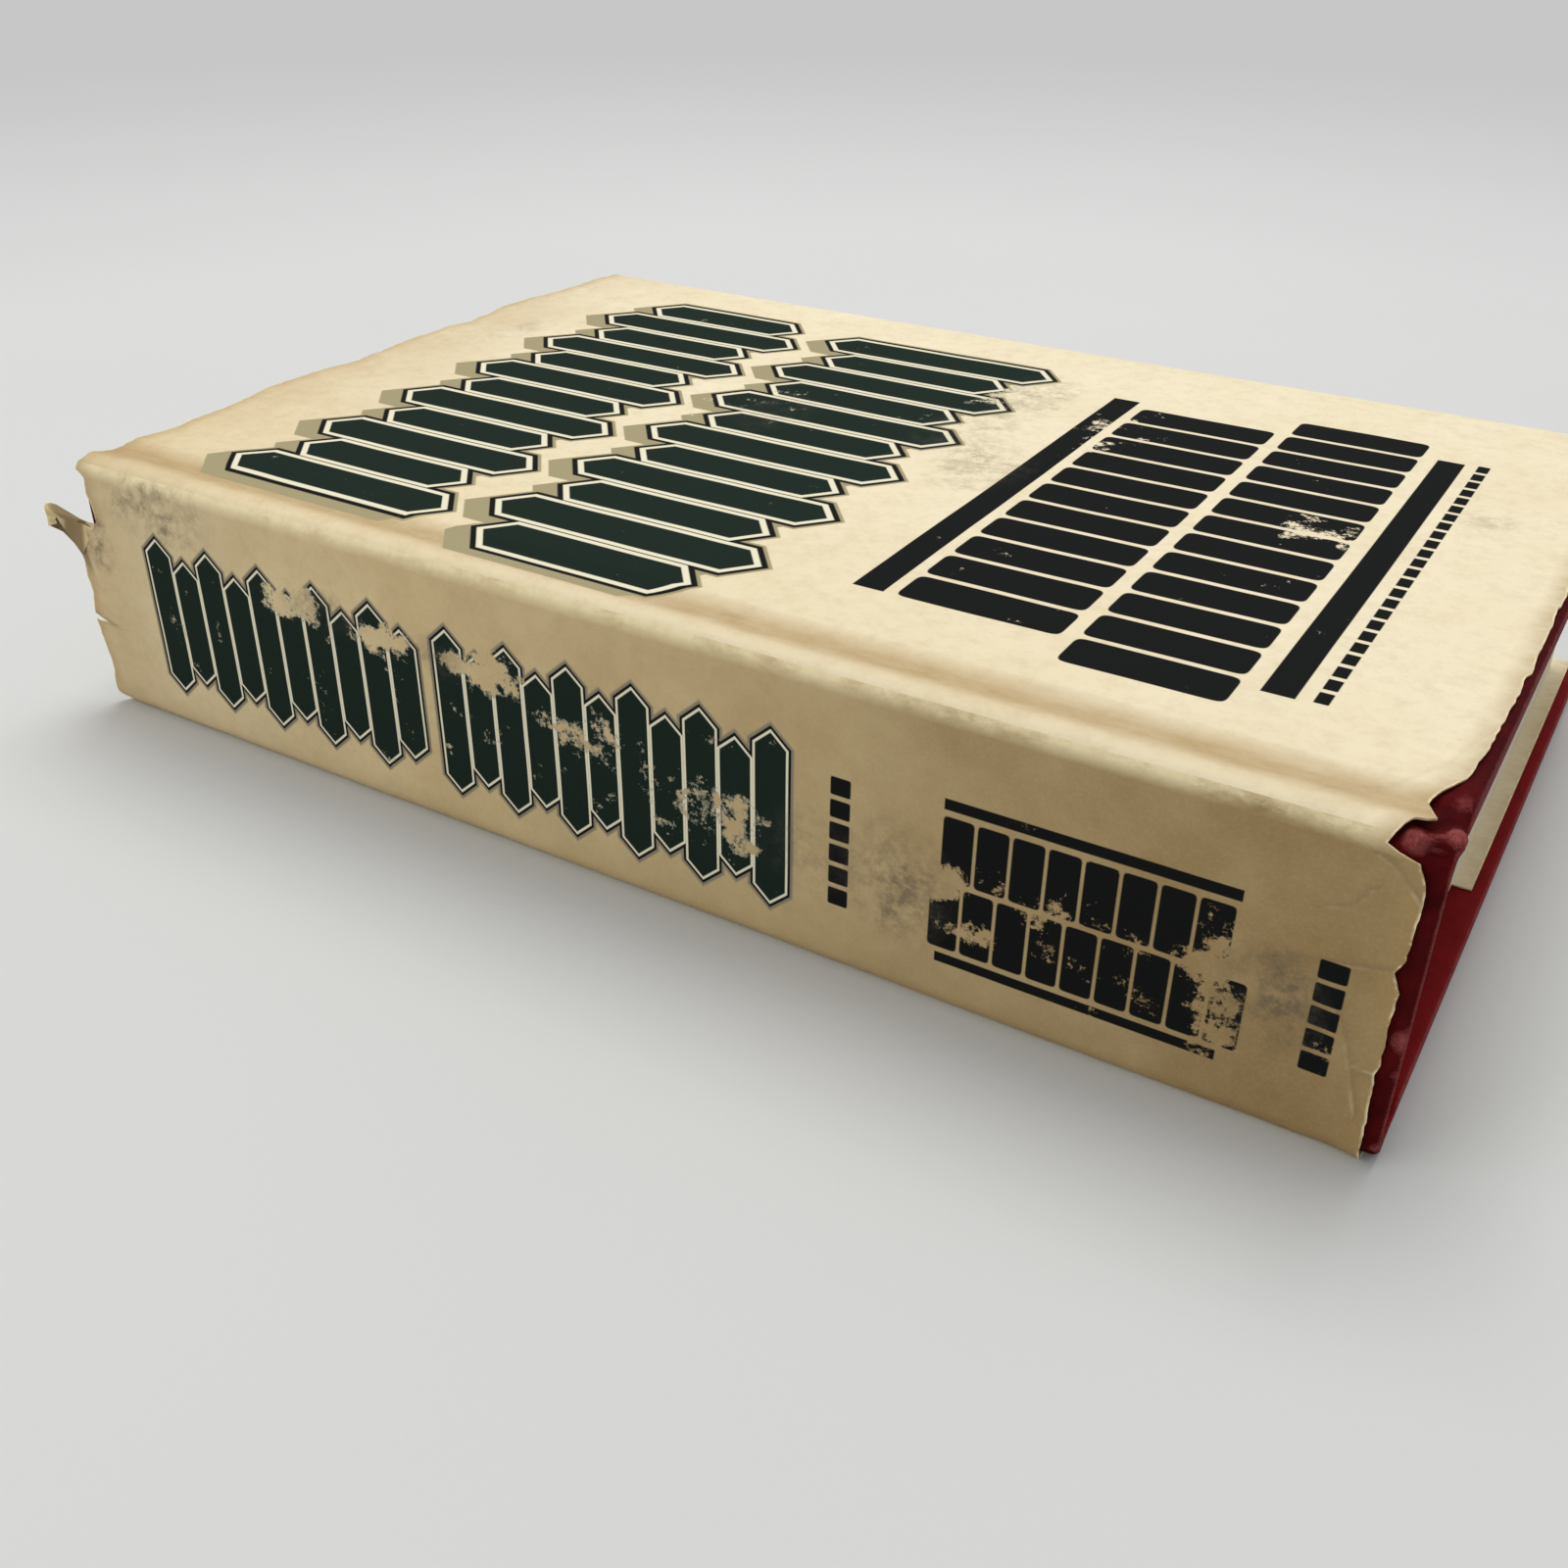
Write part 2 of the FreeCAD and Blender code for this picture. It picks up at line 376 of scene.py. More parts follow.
class Sketch:
    """Lays out one material's nodes."""

    def __init__(self, name: str) -> None:
        """Starts a material.

        Args:
            name: The material's name.
        """
        self.material = bpy.data.materials.new(name)
        self.material.use_nodes = True
        self.tree = self.material.node_tree
        self.shader = self.tree.nodes["Principled BSDF"]

    def node(self, kind: str, inputs: dict[str | int, Value], **settings: object) -> bpy.types.Node:
        """Adds a node.

        Args:
            kind: The node's type.
            inputs: What goes into its sockets.
            **settings: Its own settings.

        Returns:
            The node.
        """
        made = self.tree.nodes.new(kind)
        for name, value in settings.items():
            setattr(made, name, value)
        for name, value in inputs.items():
            self.join(made.inputs[name], value)
        return made

    def join(self, socket: bpy.types.NodeSocket, value: Value) -> None:
        """Sets a socket, or joins it to a value that is worked out."""
        if isinstance(value, Field):
            self.tree.links.new(value.socket, socket)
        elif isinstance(value, tuple) and socket.type == "RGBA":
            socket.default_value = (*value, 1.0)
        else:
            socket.default_value = value

    def math(self, operation: str, *values: Field | float) -> Field:
        """Works out one operation on numbers."""
        made = self.node("ShaderNodeMath", dict(enumerate(values)), operation=operation)
        return Field(self, made.outputs[0])

    def stored(self, name: str) -> Field:
        """Reads a number that the mesh keeps."""
        made = self.node("ShaderNodeAttribute", {}, attribute_name=name)
        return Field(self, made.outputs["Fac"])

    def sheet_place(self) -> Field:
        """Reads the place in millimetres that a sheet's mesh keeps for each corner at rest."""
        made = self.node("ShaderNodeAttribute", {}, attribute_name="place")
        return Field(self, made.outputs["Vector"])

    def solid_place(self) -> Field:
        """Reads the place in millimetres on a piece that doesn't bend."""
        made = self.node("ShaderNodeTexCoord", {})
        return self.scaled(Field(self, made.outputs["Object"]), (1000.0, 1000.0, 1000.0))

    def scaled(self, place: Field, factors: tuple[float, float, float]) -> Field:
        """Stretches a place along each axis."""
        made = self.node("ShaderNodeVectorMath", {0: place, 1: factors}, operation="MULTIPLY")
        return Field(self, made.outputs[0])

    def axes(self, place: Field) -> tuple[Field, Field, Field]:
        """Takes a place apart into x, y and z."""
        made = self.node("ShaderNodeSeparateXYZ", {0: place})
        return tuple(Field(self, output) for output in made.outputs)

    def grain(self, place: Field, size: float, detail: float = 3.0, rough: float = 0.55) -> Field:
        """Works out cloudy noise from 0 to 1.

        Args:
            place: The place, in millimetres.
            size: The size of the clouds, in millimetres.
            detail: How many finer layers it has.
            rough: How strong they are.

        Returns:
            The noise.
        """
        inputs = {"Vector": place, "Scale": 1.0 / size, "Detail": detail, "Roughness": rough}
        return Field(self, self.node("ShaderNodeTexNoise", inputs).outputs[0])

    def chance(self, number: Field, seed: float) -> Field:
        """Draws a lot from 0 to 1 for each whole number."""
        made = self.node("ShaderNodeTexWhiteNoise", {"W": number + seed}, noise_dimensions="1D")
        return Field(self, made.outputs[0])

    def mix(self, share: Field | float, first: Value, second: Value) -> Field:
        """Goes from a first colour to a second."""
        made = self.node(
            "ShaderNodeMix", {0: share, 6: first, 7: second}, data_type="RGBA", clamp_factor=True
        )
        return Field(self, made.outputs[2])

    def bump(self, height: Field, depth: float) -> Field:
        """Turns a height into a relief that is `depth` millimetres deep."""
        made = self.node("ShaderNodeBump", {"Height": height, "Distance": depth * MM})
        return Field(self, made.outputs[0])

    def finish(self, colour: Value, roughness: Value, relief: Field, specular: float = 0.3) -> None:
        """Joins the worked-out values to the shader.

        Args:
            colour: The surface's colour.
            roughness: How matt it is.
            relief: Its fine relief.
            specular: How much it mirrors.
        """
        self.join(self.shader.inputs["Base Color"], colour)
        self.join(self.shader.inputs["Roughness"], roughness)
        self.join(self.shader.inputs["Normal"], relief)
        self.shader.inputs["Specular IOR Level"].default_value = specular


# ---- The jacket's print: plain bars, blocks and rules ----


@dataclass(frozen=True)
class BarRow:
    """A row of bars side by side like a picket fence, with every second one shorter."""

    start: float
    pitch: float
    count: int
    low: float
    high: float
    step: float
    slope: float
    slit_width: float
    slit_length: float
    join: float

    def half(self, sketch: Sketch, across: Field, along: Field, first: int) -> tuple[Field, Field]:
        """Measures how far each point is outside every second bar and the slits beside it.

        Args:
            sketch: The material.
            across: The place across the bars, in millimetres.
            along: The place along them.
            first: The bar that it starts with, 0 or 1.

        Returns:
            The distance to the bars and to the slits, both negative inside.
        """
        from_start = across - (self.start + (first - 0.5) * self.pitch)
        pairs = (self.count - first + 1) // 2
        pace = self.pitch * 2
        cell = sketch.math("FLOOR", from_start / pace).most(0.0).least(pairs - 1.0)
        local = abs(from_start - (cell + 0.5) * pace)
        beyond = abs(along - (self.high + self.low) / 2)
        reach = (self.high - self.low) / 2 - first * self.step
        ends = (beyond - reach + local * self.slope) * (1.0 / math.hypot(1.0, self.slope))
        bars = (local - self.pitch / 2 - self.join).most(ends)
        slits = abs(local - self.pitch / 2) - self.slit_width
        return bars, slits.most(beyond - self.slit_length / 2)

    def shapes(self, sketch: Sketch, across: Field, along: Field) -> tuple[Field, Field]:
        """Measures how far each point is outside all the bars and the slits between them.

        Args:
            sketch: The material.
            across: The place across the bars, in millimetres.
            along: The place along them.

        Returns:
            The distance to the bars and to the slits.
        """
        even, slits = self.half(sketch, across, along, 0)
        odd, _ = self.half(sketch, across, along, 1)
        return even.least(odd), slits


@dataclass(frozen=True)
class BlockRow:
    """A row of plain blocks with round corners and thin gaps."""

    start: float
    pitch: float
    count: int
    gap: float
    low: float
    high: float
    corner: float

    def shape(self, sketch: Sketch, across: Field, along: Field) -> Field:
        """Measures how far each point is outside the blocks.

        Args:
            sketch: The material.
            across: The place along the row, in millimetres.
            along: The place up the blocks.

        Returns:
            The distance, negative inside.
        """
        from_start = across - self.start
        cell = sketch.math("FLOOR", from_start / self.pitch).most(0.0).least(self.count - 1.0)
        local = abs(from_start - (cell + 0.5) * self.pitch) - (self.pitch - self.gap) / 2
        middle, half = (self.low + self.high) / 2, (self.high - self.low) / 2
        return sketch.math("SMOOTH_MAX", local, abs(along - middle) - half, self.corner)


@dataclass(frozen=True)
class Patch:
    """An oval place on a face of the sheet, and how strong its mark is."""

    across: float
    along: float
    half_across: float
    half_along: float
    strength: float

    def share(self, sketch: Sketch, across: Field, along: Field) -> Field:
        """Fades from its strength at the middle to nothing at the oval."""
        u = (across - self.across) / self.half_across
        v = (along - self.along) / self.half_along
        return ((u * u + v * v) * -1.0 + 1.0).most(0.0) * self.strength


def pile_up(sketch: Sketch, patches: tuple[Patch, ...], across: Field, along: Field) -> Field:
    """Adds up patches.

    Args:
        sketch: The material.
        patches: At least one patch.
        across: The place across the face.
        along: The place along the face.

    Returns:
        The sum of their shares.
    """
    total = patches[0].share(sketch, across, along)
    for patch in patches[1:]:
        total = total + patch.share(sketch, across, along)
    return total


class Face(Enum):
    """A part of the jacket that has its own print."""

    FRONT = "front"
    SPINE = "spine"
    PLAIN = "plain"


@dataclass(frozen=True)
class JacketPrint:
    """The inks, and where each face of the jacket carries them."""

    ink: Colour = srgb(28, 40, 34)
    black: Colour = srgb(22, 23, 23)
    inline: Colour = srgb(232, 225, 198)
    shadow: Colour = srgb(163, 152, 118)
    grey_shadow: Colour = srgb(140, 132, 112)
    front_bars: tuple[BarRow, ...] = (
        BarRow(-63.0, 10.1, 12, -87.5, -42.0, 5.0, 0.8, 0.5, 15.0, 0.0),
        BarRow(-66.0, 10.2, 12, -34.0, 4.5, -5.0, 0.8, 0.5, 15.0, 0.0),
    )
    spine_bars: tuple[BarRow, ...] = (
        BarRow(-95.0, 5.8, 10, 7.4, 35.0, 2.7, 0.9, 0.3, 8.0, 0.0),
        BarRow(-33.6, 5.55, 11, 7.0, 34.6, 2.7, 0.9, 0.3, 8.0, 0.0),
    )
    front_blocks: tuple[BlockRow, ...] = (
        BlockRow(-49.5, 8.62, 11, 1.0, 29.5, 53.4, 2.2),
        BlockRow(-56.0, 8.4, 13, 1.0, 55.6, 77.4, 2.2),
        BlockRow(-49.0, 97.0, 1, 0.0, 22.9, 27.7, 0.1),
        BlockRow(-50.0, 96.0, 1, 0.0, 80.0, 84.3, 0.1),
        BlockRow(-50.0, 4.04, 24, 0.9, 86.3, 88.2, 0.3),
    )
    spine_blocks: tuple[BlockRow, ...] = (
        BlockRow(49.8, 4.7, 8, 0.45, 20.6, 30.0, 1.0),
        BlockRow(48.6, 4.62, 9, 0.45, 10.0, 19.9, 1.0),
        BlockRow(50.0, 37.6, 1, 0.0, 30.9, 32.5, 0.1),
        BlockRow(50.0, 37.6, 1, 0.0, 7.7, 9.2, 0.1),
    )
    spine_dashes: tuple[BlockRow, ...] = (
        BlockRow(10.4, 3.42, 6, 0.7, 33.8, 36.8, 0.5),
        BlockRow(10.8, 3.3, 5, 0.6, 97.2, 100.6, 0.5),
    )

    def bars(
        self, sketch: Sketch, rows: tuple[BarRow, ...], across: Field, along: Field
    ) -> tuple[Field, Field]:
        """Joins rows of bars into one shape.

        Args:
            sketch: The material.
            rows: The rows.
            across: The place across the bars.
            along: The place along them.

        Returns:
            The distance to the nearest bar and to the nearest gap.
        """
        bars, gaps = rows[0].shapes(sketch, across, along)
        for row in rows[1:]:
            more_bars, more_gaps = row.shapes(sketch, across, along)
            bars, gaps = bars.least(more_bars), gaps.least(more_gaps)
        return bars, gaps

    def blocks(
        self, sketch: Sketch, rows: tuple[BlockRow, ...], across: Field, along: Field
    ) -> Field:
        """Joins rows of blocks into one stencil, 1 where they are printed."""
        nearest = rows[0].shape(sketch, across, along)
        for row in rows[1:]:
            nearest = nearest.least(row.shape(sketch, across, along))
        return nearest.under(0.0, 0.16)

    def front(self, sketch: Sketch, place: Field, paper: Field, holds: Field) -> Field:
        """Prints the front: shadowed, outlined bars over rows of blocks between two rules.

        Args:
            sketch: The material.
            place: The place on the sheet.
            paper: The colour underneath.
            holds: Where ink still holds.

        Returns:
            The printed colour.
        """
        x, y, _ = sketch.axes(place)
        bars, gaps = self.bars(sketch, self.front_bars, y, x)
        cast, _ = self.bars(sketch, self.front_bars, y + 2.6, x + 3.0)
        shade = cast.under(0.6, 0.25).most(bars.under(1.3, 0.25))
        colour = sketch.mix(shade * holds, paper, self.shadow)
        colour = sketch.mix(bars.under(0.75, 0.2) * holds, colour, self.black)
        colour = sketch.mix(bars.under(-0.15, 0.2) * holds, colour, self.inline)
        core = bars.under(-1.1, 0.2) * gaps.over(0.0, 0.2)
        colour = sketch.mix(core * holds, colour, self.ink)
        blocks = self.blocks(sketch, self.front_blocks, y, x)
        return sketch.mix(blocks * holds, colour, self.black)

    def spine(self, sketch: Sketch, place: Field, paper: Field, holds: Field) -> Field:
        """Prints the spine: two rows of outlined bars, then blocks and dashes.

        Args:
            sketch: The material.
            place: The place on the sheet.
            paper: The colour underneath.
            holds: Where ink still holds.

        Returns:
            The printed colour.
        """
        x, _, z = sketch.axes(place)
        bars, gaps = self.bars(sketch, self.spine_bars, x, z)
        colour = sketch.mix(bars.under(0.85, 0.3) * holds, paper, self.grey_shadow)
        colour = sketch.mix(bars.under(0.42, 0.12) * holds, colour, self.black)
        colour = sketch.mix(bars.under(0.0, 0.12) * holds, colour, self.inline)
        core = bars.under(-0.36, 0.12) * gaps.over(0.0, 0.12)
        colour = sketch.mix(core * holds, colour, self.ink)
        blocks = self.blocks(sketch, self.spine_blocks, x, z)
        dashes = self.blocks(sketch, self.spine_dashes, z, x)
        return sketch.mix(blocks.most(dashes) * holds, colour, self.black)


@dataclass(frozen=True)
class JacketPaper:
    """The jacket's toned cream paper with its rubs, smudges, browned edges and creases, and painted
    shade and painted highlights at its folds, creases and curled strip.
    """

    cream: Colour = srgb(238, 227, 198)
    warm: Colour = srgb(224, 206, 166)
    spine_tone: Colour = srgb(215, 194, 150)
    tanned: Colour = srgb(150, 125, 84)
    painted_strip_shade: Colour = srgb(132, 114, 92)
    brown: Colour = srgb(172, 142, 96)
    # Pale fibre for torn rims and specks, and also the painted highlight on crease crests and along
    # the spine's top fold.
    pale_fibre_and_highlight: Colour = srgb(240, 226, 184)
    # Grime for the smudges, and also the painted shade beside the creases.
    grime_and_crease_shade: Colour = srgb(88, 82, 74)
    printing: JacketPrint = field(default_factory=JacketPrint)
    spine_marks: tuple[Patch, ...] = (
        Patch(-91.0, 39.6, 14.0, 6.0, 1.35),
        Patch(-107.5, 31.0, 4.5, 6.5, 2.0),
        Patch(-114.0, 34.0, 5.5, 6.5, 1.6),
        Patch(44.0, 17.5, 9.0, 11.0, 1.5),
        Patch(92.5, 19.0, 7.5, 9.0, 1.7),
        Patch(-56.0, 31.5, 10.0, 4.0, 1.0),
        Patch(-33.0, 29.5, 6.0, 4.0, 0.9),
        Patch(30.0, 18.0, 8.0, 8.0, 0.7),
    )
    front_marks: tuple[Patch, ...] = (
        Patch(10.0, 40.0, 9.0, 16.0, 0.85),
        Patch(8.0, 16.0, 9.0, 14.0, 0.7),
        Patch(18.0, 3.0, 9.0, 14.0, 0.8),
        Patch(-25.0, 8.0, 8.0, 12.0, 0.6),
        Patch(-96.0, 24.0, 4.0, 12.0, 0.5),
        Patch(93.0, 22.0, 5.0, 5.0, 0.5),
    )
    spine_rubs: tuple[Patch, ...] = (
        Patch(-62.0, 31.5, 9.0, 5.0, 0.17),
        Patch(-44.0, 29.5, 8.0, 4.0, 0.16),
        Patch(-24.0, 30.0, 11.0, 5.0, 0.18),
        Patch(-6.0, 24.0, 14.0, 6.0, 0.10),
        Patch(14.0, 18.0, 13.0, 8.0, 0.12),
        Patch(70.0, 20.2, 24.0, 3.0, 0.10),
        Patch(66.0, 14.0, 22.0, 2.6, 0.08),
        Patch(87.5, 17.0, 6.0, 12.0, 0.15),
        Patch(50.0, 20.0, 5.0, 4.0, 0.20),
    )
    front_rubs: tuple[Patch, ...] = (
        Patch(72.0, 4.0, 12.0, 7.0, 0.14),
        Patch(30.0, 30.0, 8.0, 18.0, 0.12),
        Patch(6.0, 40.0, 9.0, 14.0, 0.12),
        Patch(-30.0, 12.0, 14.0, 18.0, 0.06),
    )

    def tone(self, sketch: Sketch, place: Field, face: Face) -> Field:
        """Tones the bare paper: mottled, browner on the spine, worn and grimy at its edges, with
        painted shade in the joint's valley, towards the front's head and spine side and beside
        creases, and painted highlights on crease crests and the spine's top fold.

        Args:
            sketch: The material.
            place: The place on the sheet.
            face: The part of the jacket.

        Returns:
            The colour.
        """
        x, y, z = sketch.axes(place)
        clouds = sketch.grain(place, 17.0, 5.0, 0.62)
        streaks = sketch.grain(sketch.scaled(place, (0.5, 1.0, 1.0)), 3.2, 4.0, 0.68)
        if face is Face.SPINE:
            toned = sketch.mix(clouds.over(0.5, 0.4) * 0.35, self.spine_tone, self.brown)
            tail = (x + 40.0).over(62.0, 130.0) + (x + 0.0).over(60.0, 110.0) * 0.35
            toned = sketch.mix(tail * (clouds * 0.6 + 0.38), toned, self.tanned)
            toned = sketch.mix(x.under(-70.0, 60.0) * 0.22, toned, self.cream)
            ends = x.under(-101.0, 16.0) * 0.45 + z.under(3.0, 5.0) * 0.3
            toned = sketch.mix(ends * (streaks + 0.3), toned, self.brown)
            # Painted shade on the torn strip curled up at the spine's head: its face is coloured
            # darker in place of shading from the lamps.
            strip = x.under(-111.0, 1.6) * z.over(24.0, 1.0)
            toned = sketch.mix(strip * 0.9, toned, self.painted_strip_shade)
            # Painted highlight: a pale, streaky band along the spine's top fold where it turns onto
            # the front.
            painted_fold_highlight = z.over(43.2, 1.6) * streaks.over(0.4, 0.3) * 0.8
            toned = sketch.mix(painted_fold_highlight, toned, self.pale_fibre_and_highlight)
        else:
            toned = sketch.mix(clouds.over(0.5, 0.5) * 0.4, self.cream, self.warm)
            # Painted shade: the front is coloured warmer and darker towards the head and the spine
            # side.
            painted_shading = (x * 0.35 + y).under(-62.0, 110.0)
            toned = sketch.mix(painted_shading * (streaks * 0.5 + 0.6), toned, self.warm)
            toned = sketch.mix(x.under(-92.0, 30.0) * clouds * 0.6, toned, self.brown)
            # Painted shade in the valley over the front joint, on the top face.
            valley = abs(y + 66.4).under(3.0, 4.0) * (streaks * 0.6 + 0.4)
            toned = sketch.mix(valley * z.over(44.0, 1.0), toned, self.brown)
        gap = sketch.stored("edge_gap")
        toned = sketch.mix(gap.under(1.6, 2.8) * streaks * 0.9, toned, self.brown)
        toned = sketch.mix(gap.under(0.2, 0.3) * streaks.over(0.52, 0.16), toned, self.pale_fibre_and_highlight)
        line, near = sketch.stored("crease"), sketch.stored("crease_near")
        # Painted shade on one side of each crease.
        dark = abs(line).under(0.7, 1.3) * line.over(0.05, 0.5) * streaks * 0.8
        toned = sketch.mix(dark * near, toned, self.grime_and_crease_shade)
        # Painted highlight along each crease's crest.
        light = abs(line).under(0.14, 0.5) * streaks.over(0.52, 0.2) * near * 0.4
        return sketch.mix(light, toned, self.pale_fibre_and_highlight)

    def make(self, face: Face) -> bpy.types.Material:
        """Makes the material of one part of the jacket.

        Args:
            face: The part.

        Returns:
            The material.
        """
        sketch = Sketch(f"jacket paper, {face.value}")
        place = sketch.sheet_place()
        x, y, z = sketch.axes(place)
        fine = sketch.grain(place, 2.6, 6.0, 0.72)
        tiny = sketch.grain(place, 0.45, 3.0, 0.62)
        colour = self.tone(sketch, place, face)
        colour = sketch.mix(fine.over(0.58, 0.25) * 0.2, colour, self.brown)
        colour = sketch.mix(tiny.over(0.6, 0.3) * 0.07, colour, self.pale_fibre_and_highlight)
        if face is not Face.PLAIN:
            coarse = sketch.grain(place, 5.5, 5.0, 0.7)
            on_spine = face is Face.SPINE
            along = z if on_spine else y
            worn = pile_up(sketch, self.spine_rubs if on_spine else self.front_rubs, x, along)
            bare = coarse * 0.55 + fine * 0.33 + tiny * 0.12
            holds = (bare + worn + (0.03 if on_spine else 0.0)).under(0.645, 0.045)
            lay = self.printing.spine if on_spine else self.printing.front
            colour = lay(sketch, place, colour, holds)
            marks = pile_up(sketch, self.spine_marks if on_spine else self.front_marks, x, along)
            grey = (marks * fine.over(0.5, 0.22) * coarse.over(0.46, 0.3)).least(1.0)
            colour = sketch.mix(grey * 0.6, colour, self.grime_and_crease_shade)
        line, near = sketch.stored("crease"), sketch.stored("crease_near")
        step = line.over(0.0, 0.9) * near
        waves = sketch.grain(place, 8.0, 4.0, 0.5)
        relief = sketch.bump(tiny * 0.3 + waves * 1.3 + step * 1.4, 0.09)
        sketch.finish(colour, tiny * 0.14 + 0.68, relief, 0.04)
        return sketch.material


@dataclass(frozen=True)
class RawPaper:
    """The jacket paper's bare reverse and its torn, fibrous edges, with painted shade on the curled
    strip at the spine's head.
    """

    pale: Colour = srgb(242, 227, 182)
    toned: Colour = srgb(184, 157, 106)
    painted_strip_shade: Colour = srgb(136, 116, 84)

    def make(self) -> bpy.types.Material:
        """Makes the material."""
        sketch = Sketch("jacket paper, reverse")
        place = sketch.sheet_place()
        fibres = sketch.grain(sketch.scaled(place, (1.0, 0.4, 1.0)), 0.8, 4.0, 0.7)
        clouds = sketch.grain(place, 7.0, 4.0, 0.6)
        share = fibres * 0.5 + clouds * 0.5
        colour = sketch.mix(share.over(0.48, 0.24), self.pale, self.toned)
        x, y, z = sketch.axes(place)
        # Painted shade on the reverse of the curled strip at the spine's head.
        strip = x.under(-110.4, 1.2) * x.over(-117.6, 1.6) * z.over(24.0, 1.0) * y.under(-70.0, 1.0)
        colour = sketch.mix(strip * 0.9, colour, self.painted_strip_shade)
        sketch.finish(colour, share * 0.2 + 0.7, sketch.bump(fibres, 0.06), 0.2)
        return sketch.material


@dataclass(frozen=True)
class BookCloth:
    """Dark red book cloth with a fine grain, rubbed pale where it is folded or knocked; it is
    painted as a darker shaded copy on the case's outside and a lighter lit copy on the back cover's
    cloth, and part of the pale rub is a painted highlight.
    """

    # The cloth's dark copy, darkened in part as painted shade, used on the case's outside.
    deep: Colour = srgb(52, 2, 4)
    # The cloth's lighter copy: its grain's variation, and the painted light on the back cover's
    # cloth and turn-in.
    bright_and_lit: Colour = srgb(120, 18, 22)
    # The pale rub colour, which on the bunched lumps and along the board's tail edge is also a
    # painted highlight.
    rubbed: Colour = srgb(156, 80, 78)

    def make(self) -> bpy.types.Material:
        """Makes the material."""
        sketch = Sketch("book cloth")
        place = sketch.sheet_place()
        x, y, z = sketch.axes(place)
        threads = sketch.math("SINE", x * 11.0) * sketch.math("SINE", (y + z) * 11.0)
        clouds = sketch.grain(place, 4.0, 5.0, 0.65)
        fluff = sketch.grain(place, 0.6, 4.0, 0.7)
        # Lit and shaded copies of the cloth: the back cover's cloth away from the spine, turn-in
        # included, is painted lighter than the rest.
        painted_shading = z.under(20.0, 1.0) * y.over(-69.0, 1.0)
        colour = sketch.mix(clouds.over(0.5, 0.4) * 0.35 + painted_shading * 0.74, self.deep, self.bright_and_lit)
        colour = sketch.mix(threads.over(0.3, 1.0) * 0.1, colour, self.bright_and_lit)
        worn = sketch.stored("wear") * (fluff * 0.9 + clouds * 0.7)
        colour = sketch.mix(worn.over(0.6, 0.55), colour, self.rubbed)
        relief = sketch.bump(threads * 0.2 + fluff * 0.6 + clouds * 0.5, 0.1)
        sketch.finish(colour, fluff * 0.2 + 0.66, relief, 0.06)
        return sketch.material


@dataclass(frozen=True)
class PageEdges:
    """The trimmed edges of the leaves: fine lines along the block, toned with age."""

    light: Colour = srgb(238, 231, 212)
    toned: Colour = srgb(214, 199, 168)
    line: Colour = srgb(150, 132, 100)

    def make(self) -> bpy.types.Material:
        """Makes the material."""
        sketch = Sketch("page edges")
        place = sketch.solid_place()
        x, y, z = sketch.axes(place)
        leaves = sketch.grain(sketch.scaled(place, (0.002, 0.002, 1.0)), 0.16, 3.0, 0.8)
        sections = sketch.grain(sketch.scaled(place, (0.008, 0.008, 1.0)), 2.4, 2.0, 0.6)
        foxing = sketch.grain(place, 11.0, 5.0, 0.65)
        colour = sketch.mix(foxing.over(0.55, 0.5) * 0.6, self.light, self.toned)
        colour = sketch.mix(sections.over(0.56, 0.1) * 0.25, colour, self.toned)
        colour = sketch.mix(leaves.over(0.58, 0.08) * 0.5, colour, self.line)
        relief = sketch.bump(leaves + sections * 0.6, 0.12)
        sketch.finish(colour, leaves * 0.15 + 0.75, relief, 0.15)
        return sketch.material


@dataclass(frozen=True)
class StockFinish:
    """Paper, board or card that lies inside the case."""

    name: str
    light: Colour
    dark: Colour
    fibre: float
    depth: float
    roughness: float = 0.75

    def make(self) -> bpy.types.Material:
        """Makes the material."""
        sketch = Sketch(self.name)
        place = sketch.solid_place()
        fibres = sketch.grain(sketch.scaled(place, (0.45, 1.0, 1.0)), self.fibre, 5.0, 0.7)
        clouds = sketch.grain(place, 22.0, 4.0, 0.6)
        share = fibres * 0.4 + clouds * 0.6
        colour = sketch.mix(share.over(0.52, 0.45), self.light, self.dark)
        relief = sketch.bump(fibres, self.depth)
        sketch.finish(colour, fibres * 0.12 + (self.roughness - 0.06), relief, 0.2)
        return sketch.material


@dataclass(frozen=True)
class GauzeFinish:
    """The binder's open gauze, pale threads over glue."""

    thread: Colour = srgb(222, 210, 180)
    glue: Colour = srgb(150, 126, 84)
    pitch: float = 1.1

    def make(self) -> bpy.types.Material:
        """Makes the material."""
        sketch = Sketch("binder's gauze")
        x, y, z = sketch.axes(sketch.solid_place())
        turn = 2 * math.pi / self.pitch
        warp = abs(sketch.math("SINE", x * turn))
        weft = abs(sketch.math("SINE", (y + z) * turn))
        weave = warp.over(0.8, 0.2).most(weft.over(0.8, 0.2))
        colour = sketch.mix(weave, self.glue, self.thread)
        sketch.finish(colour, weave * 0.3 + 0.55, sketch.bump(weave, 0.2), 0.3)
        return sketch.material


# ---- The folded sheets: jacket and cloth ----


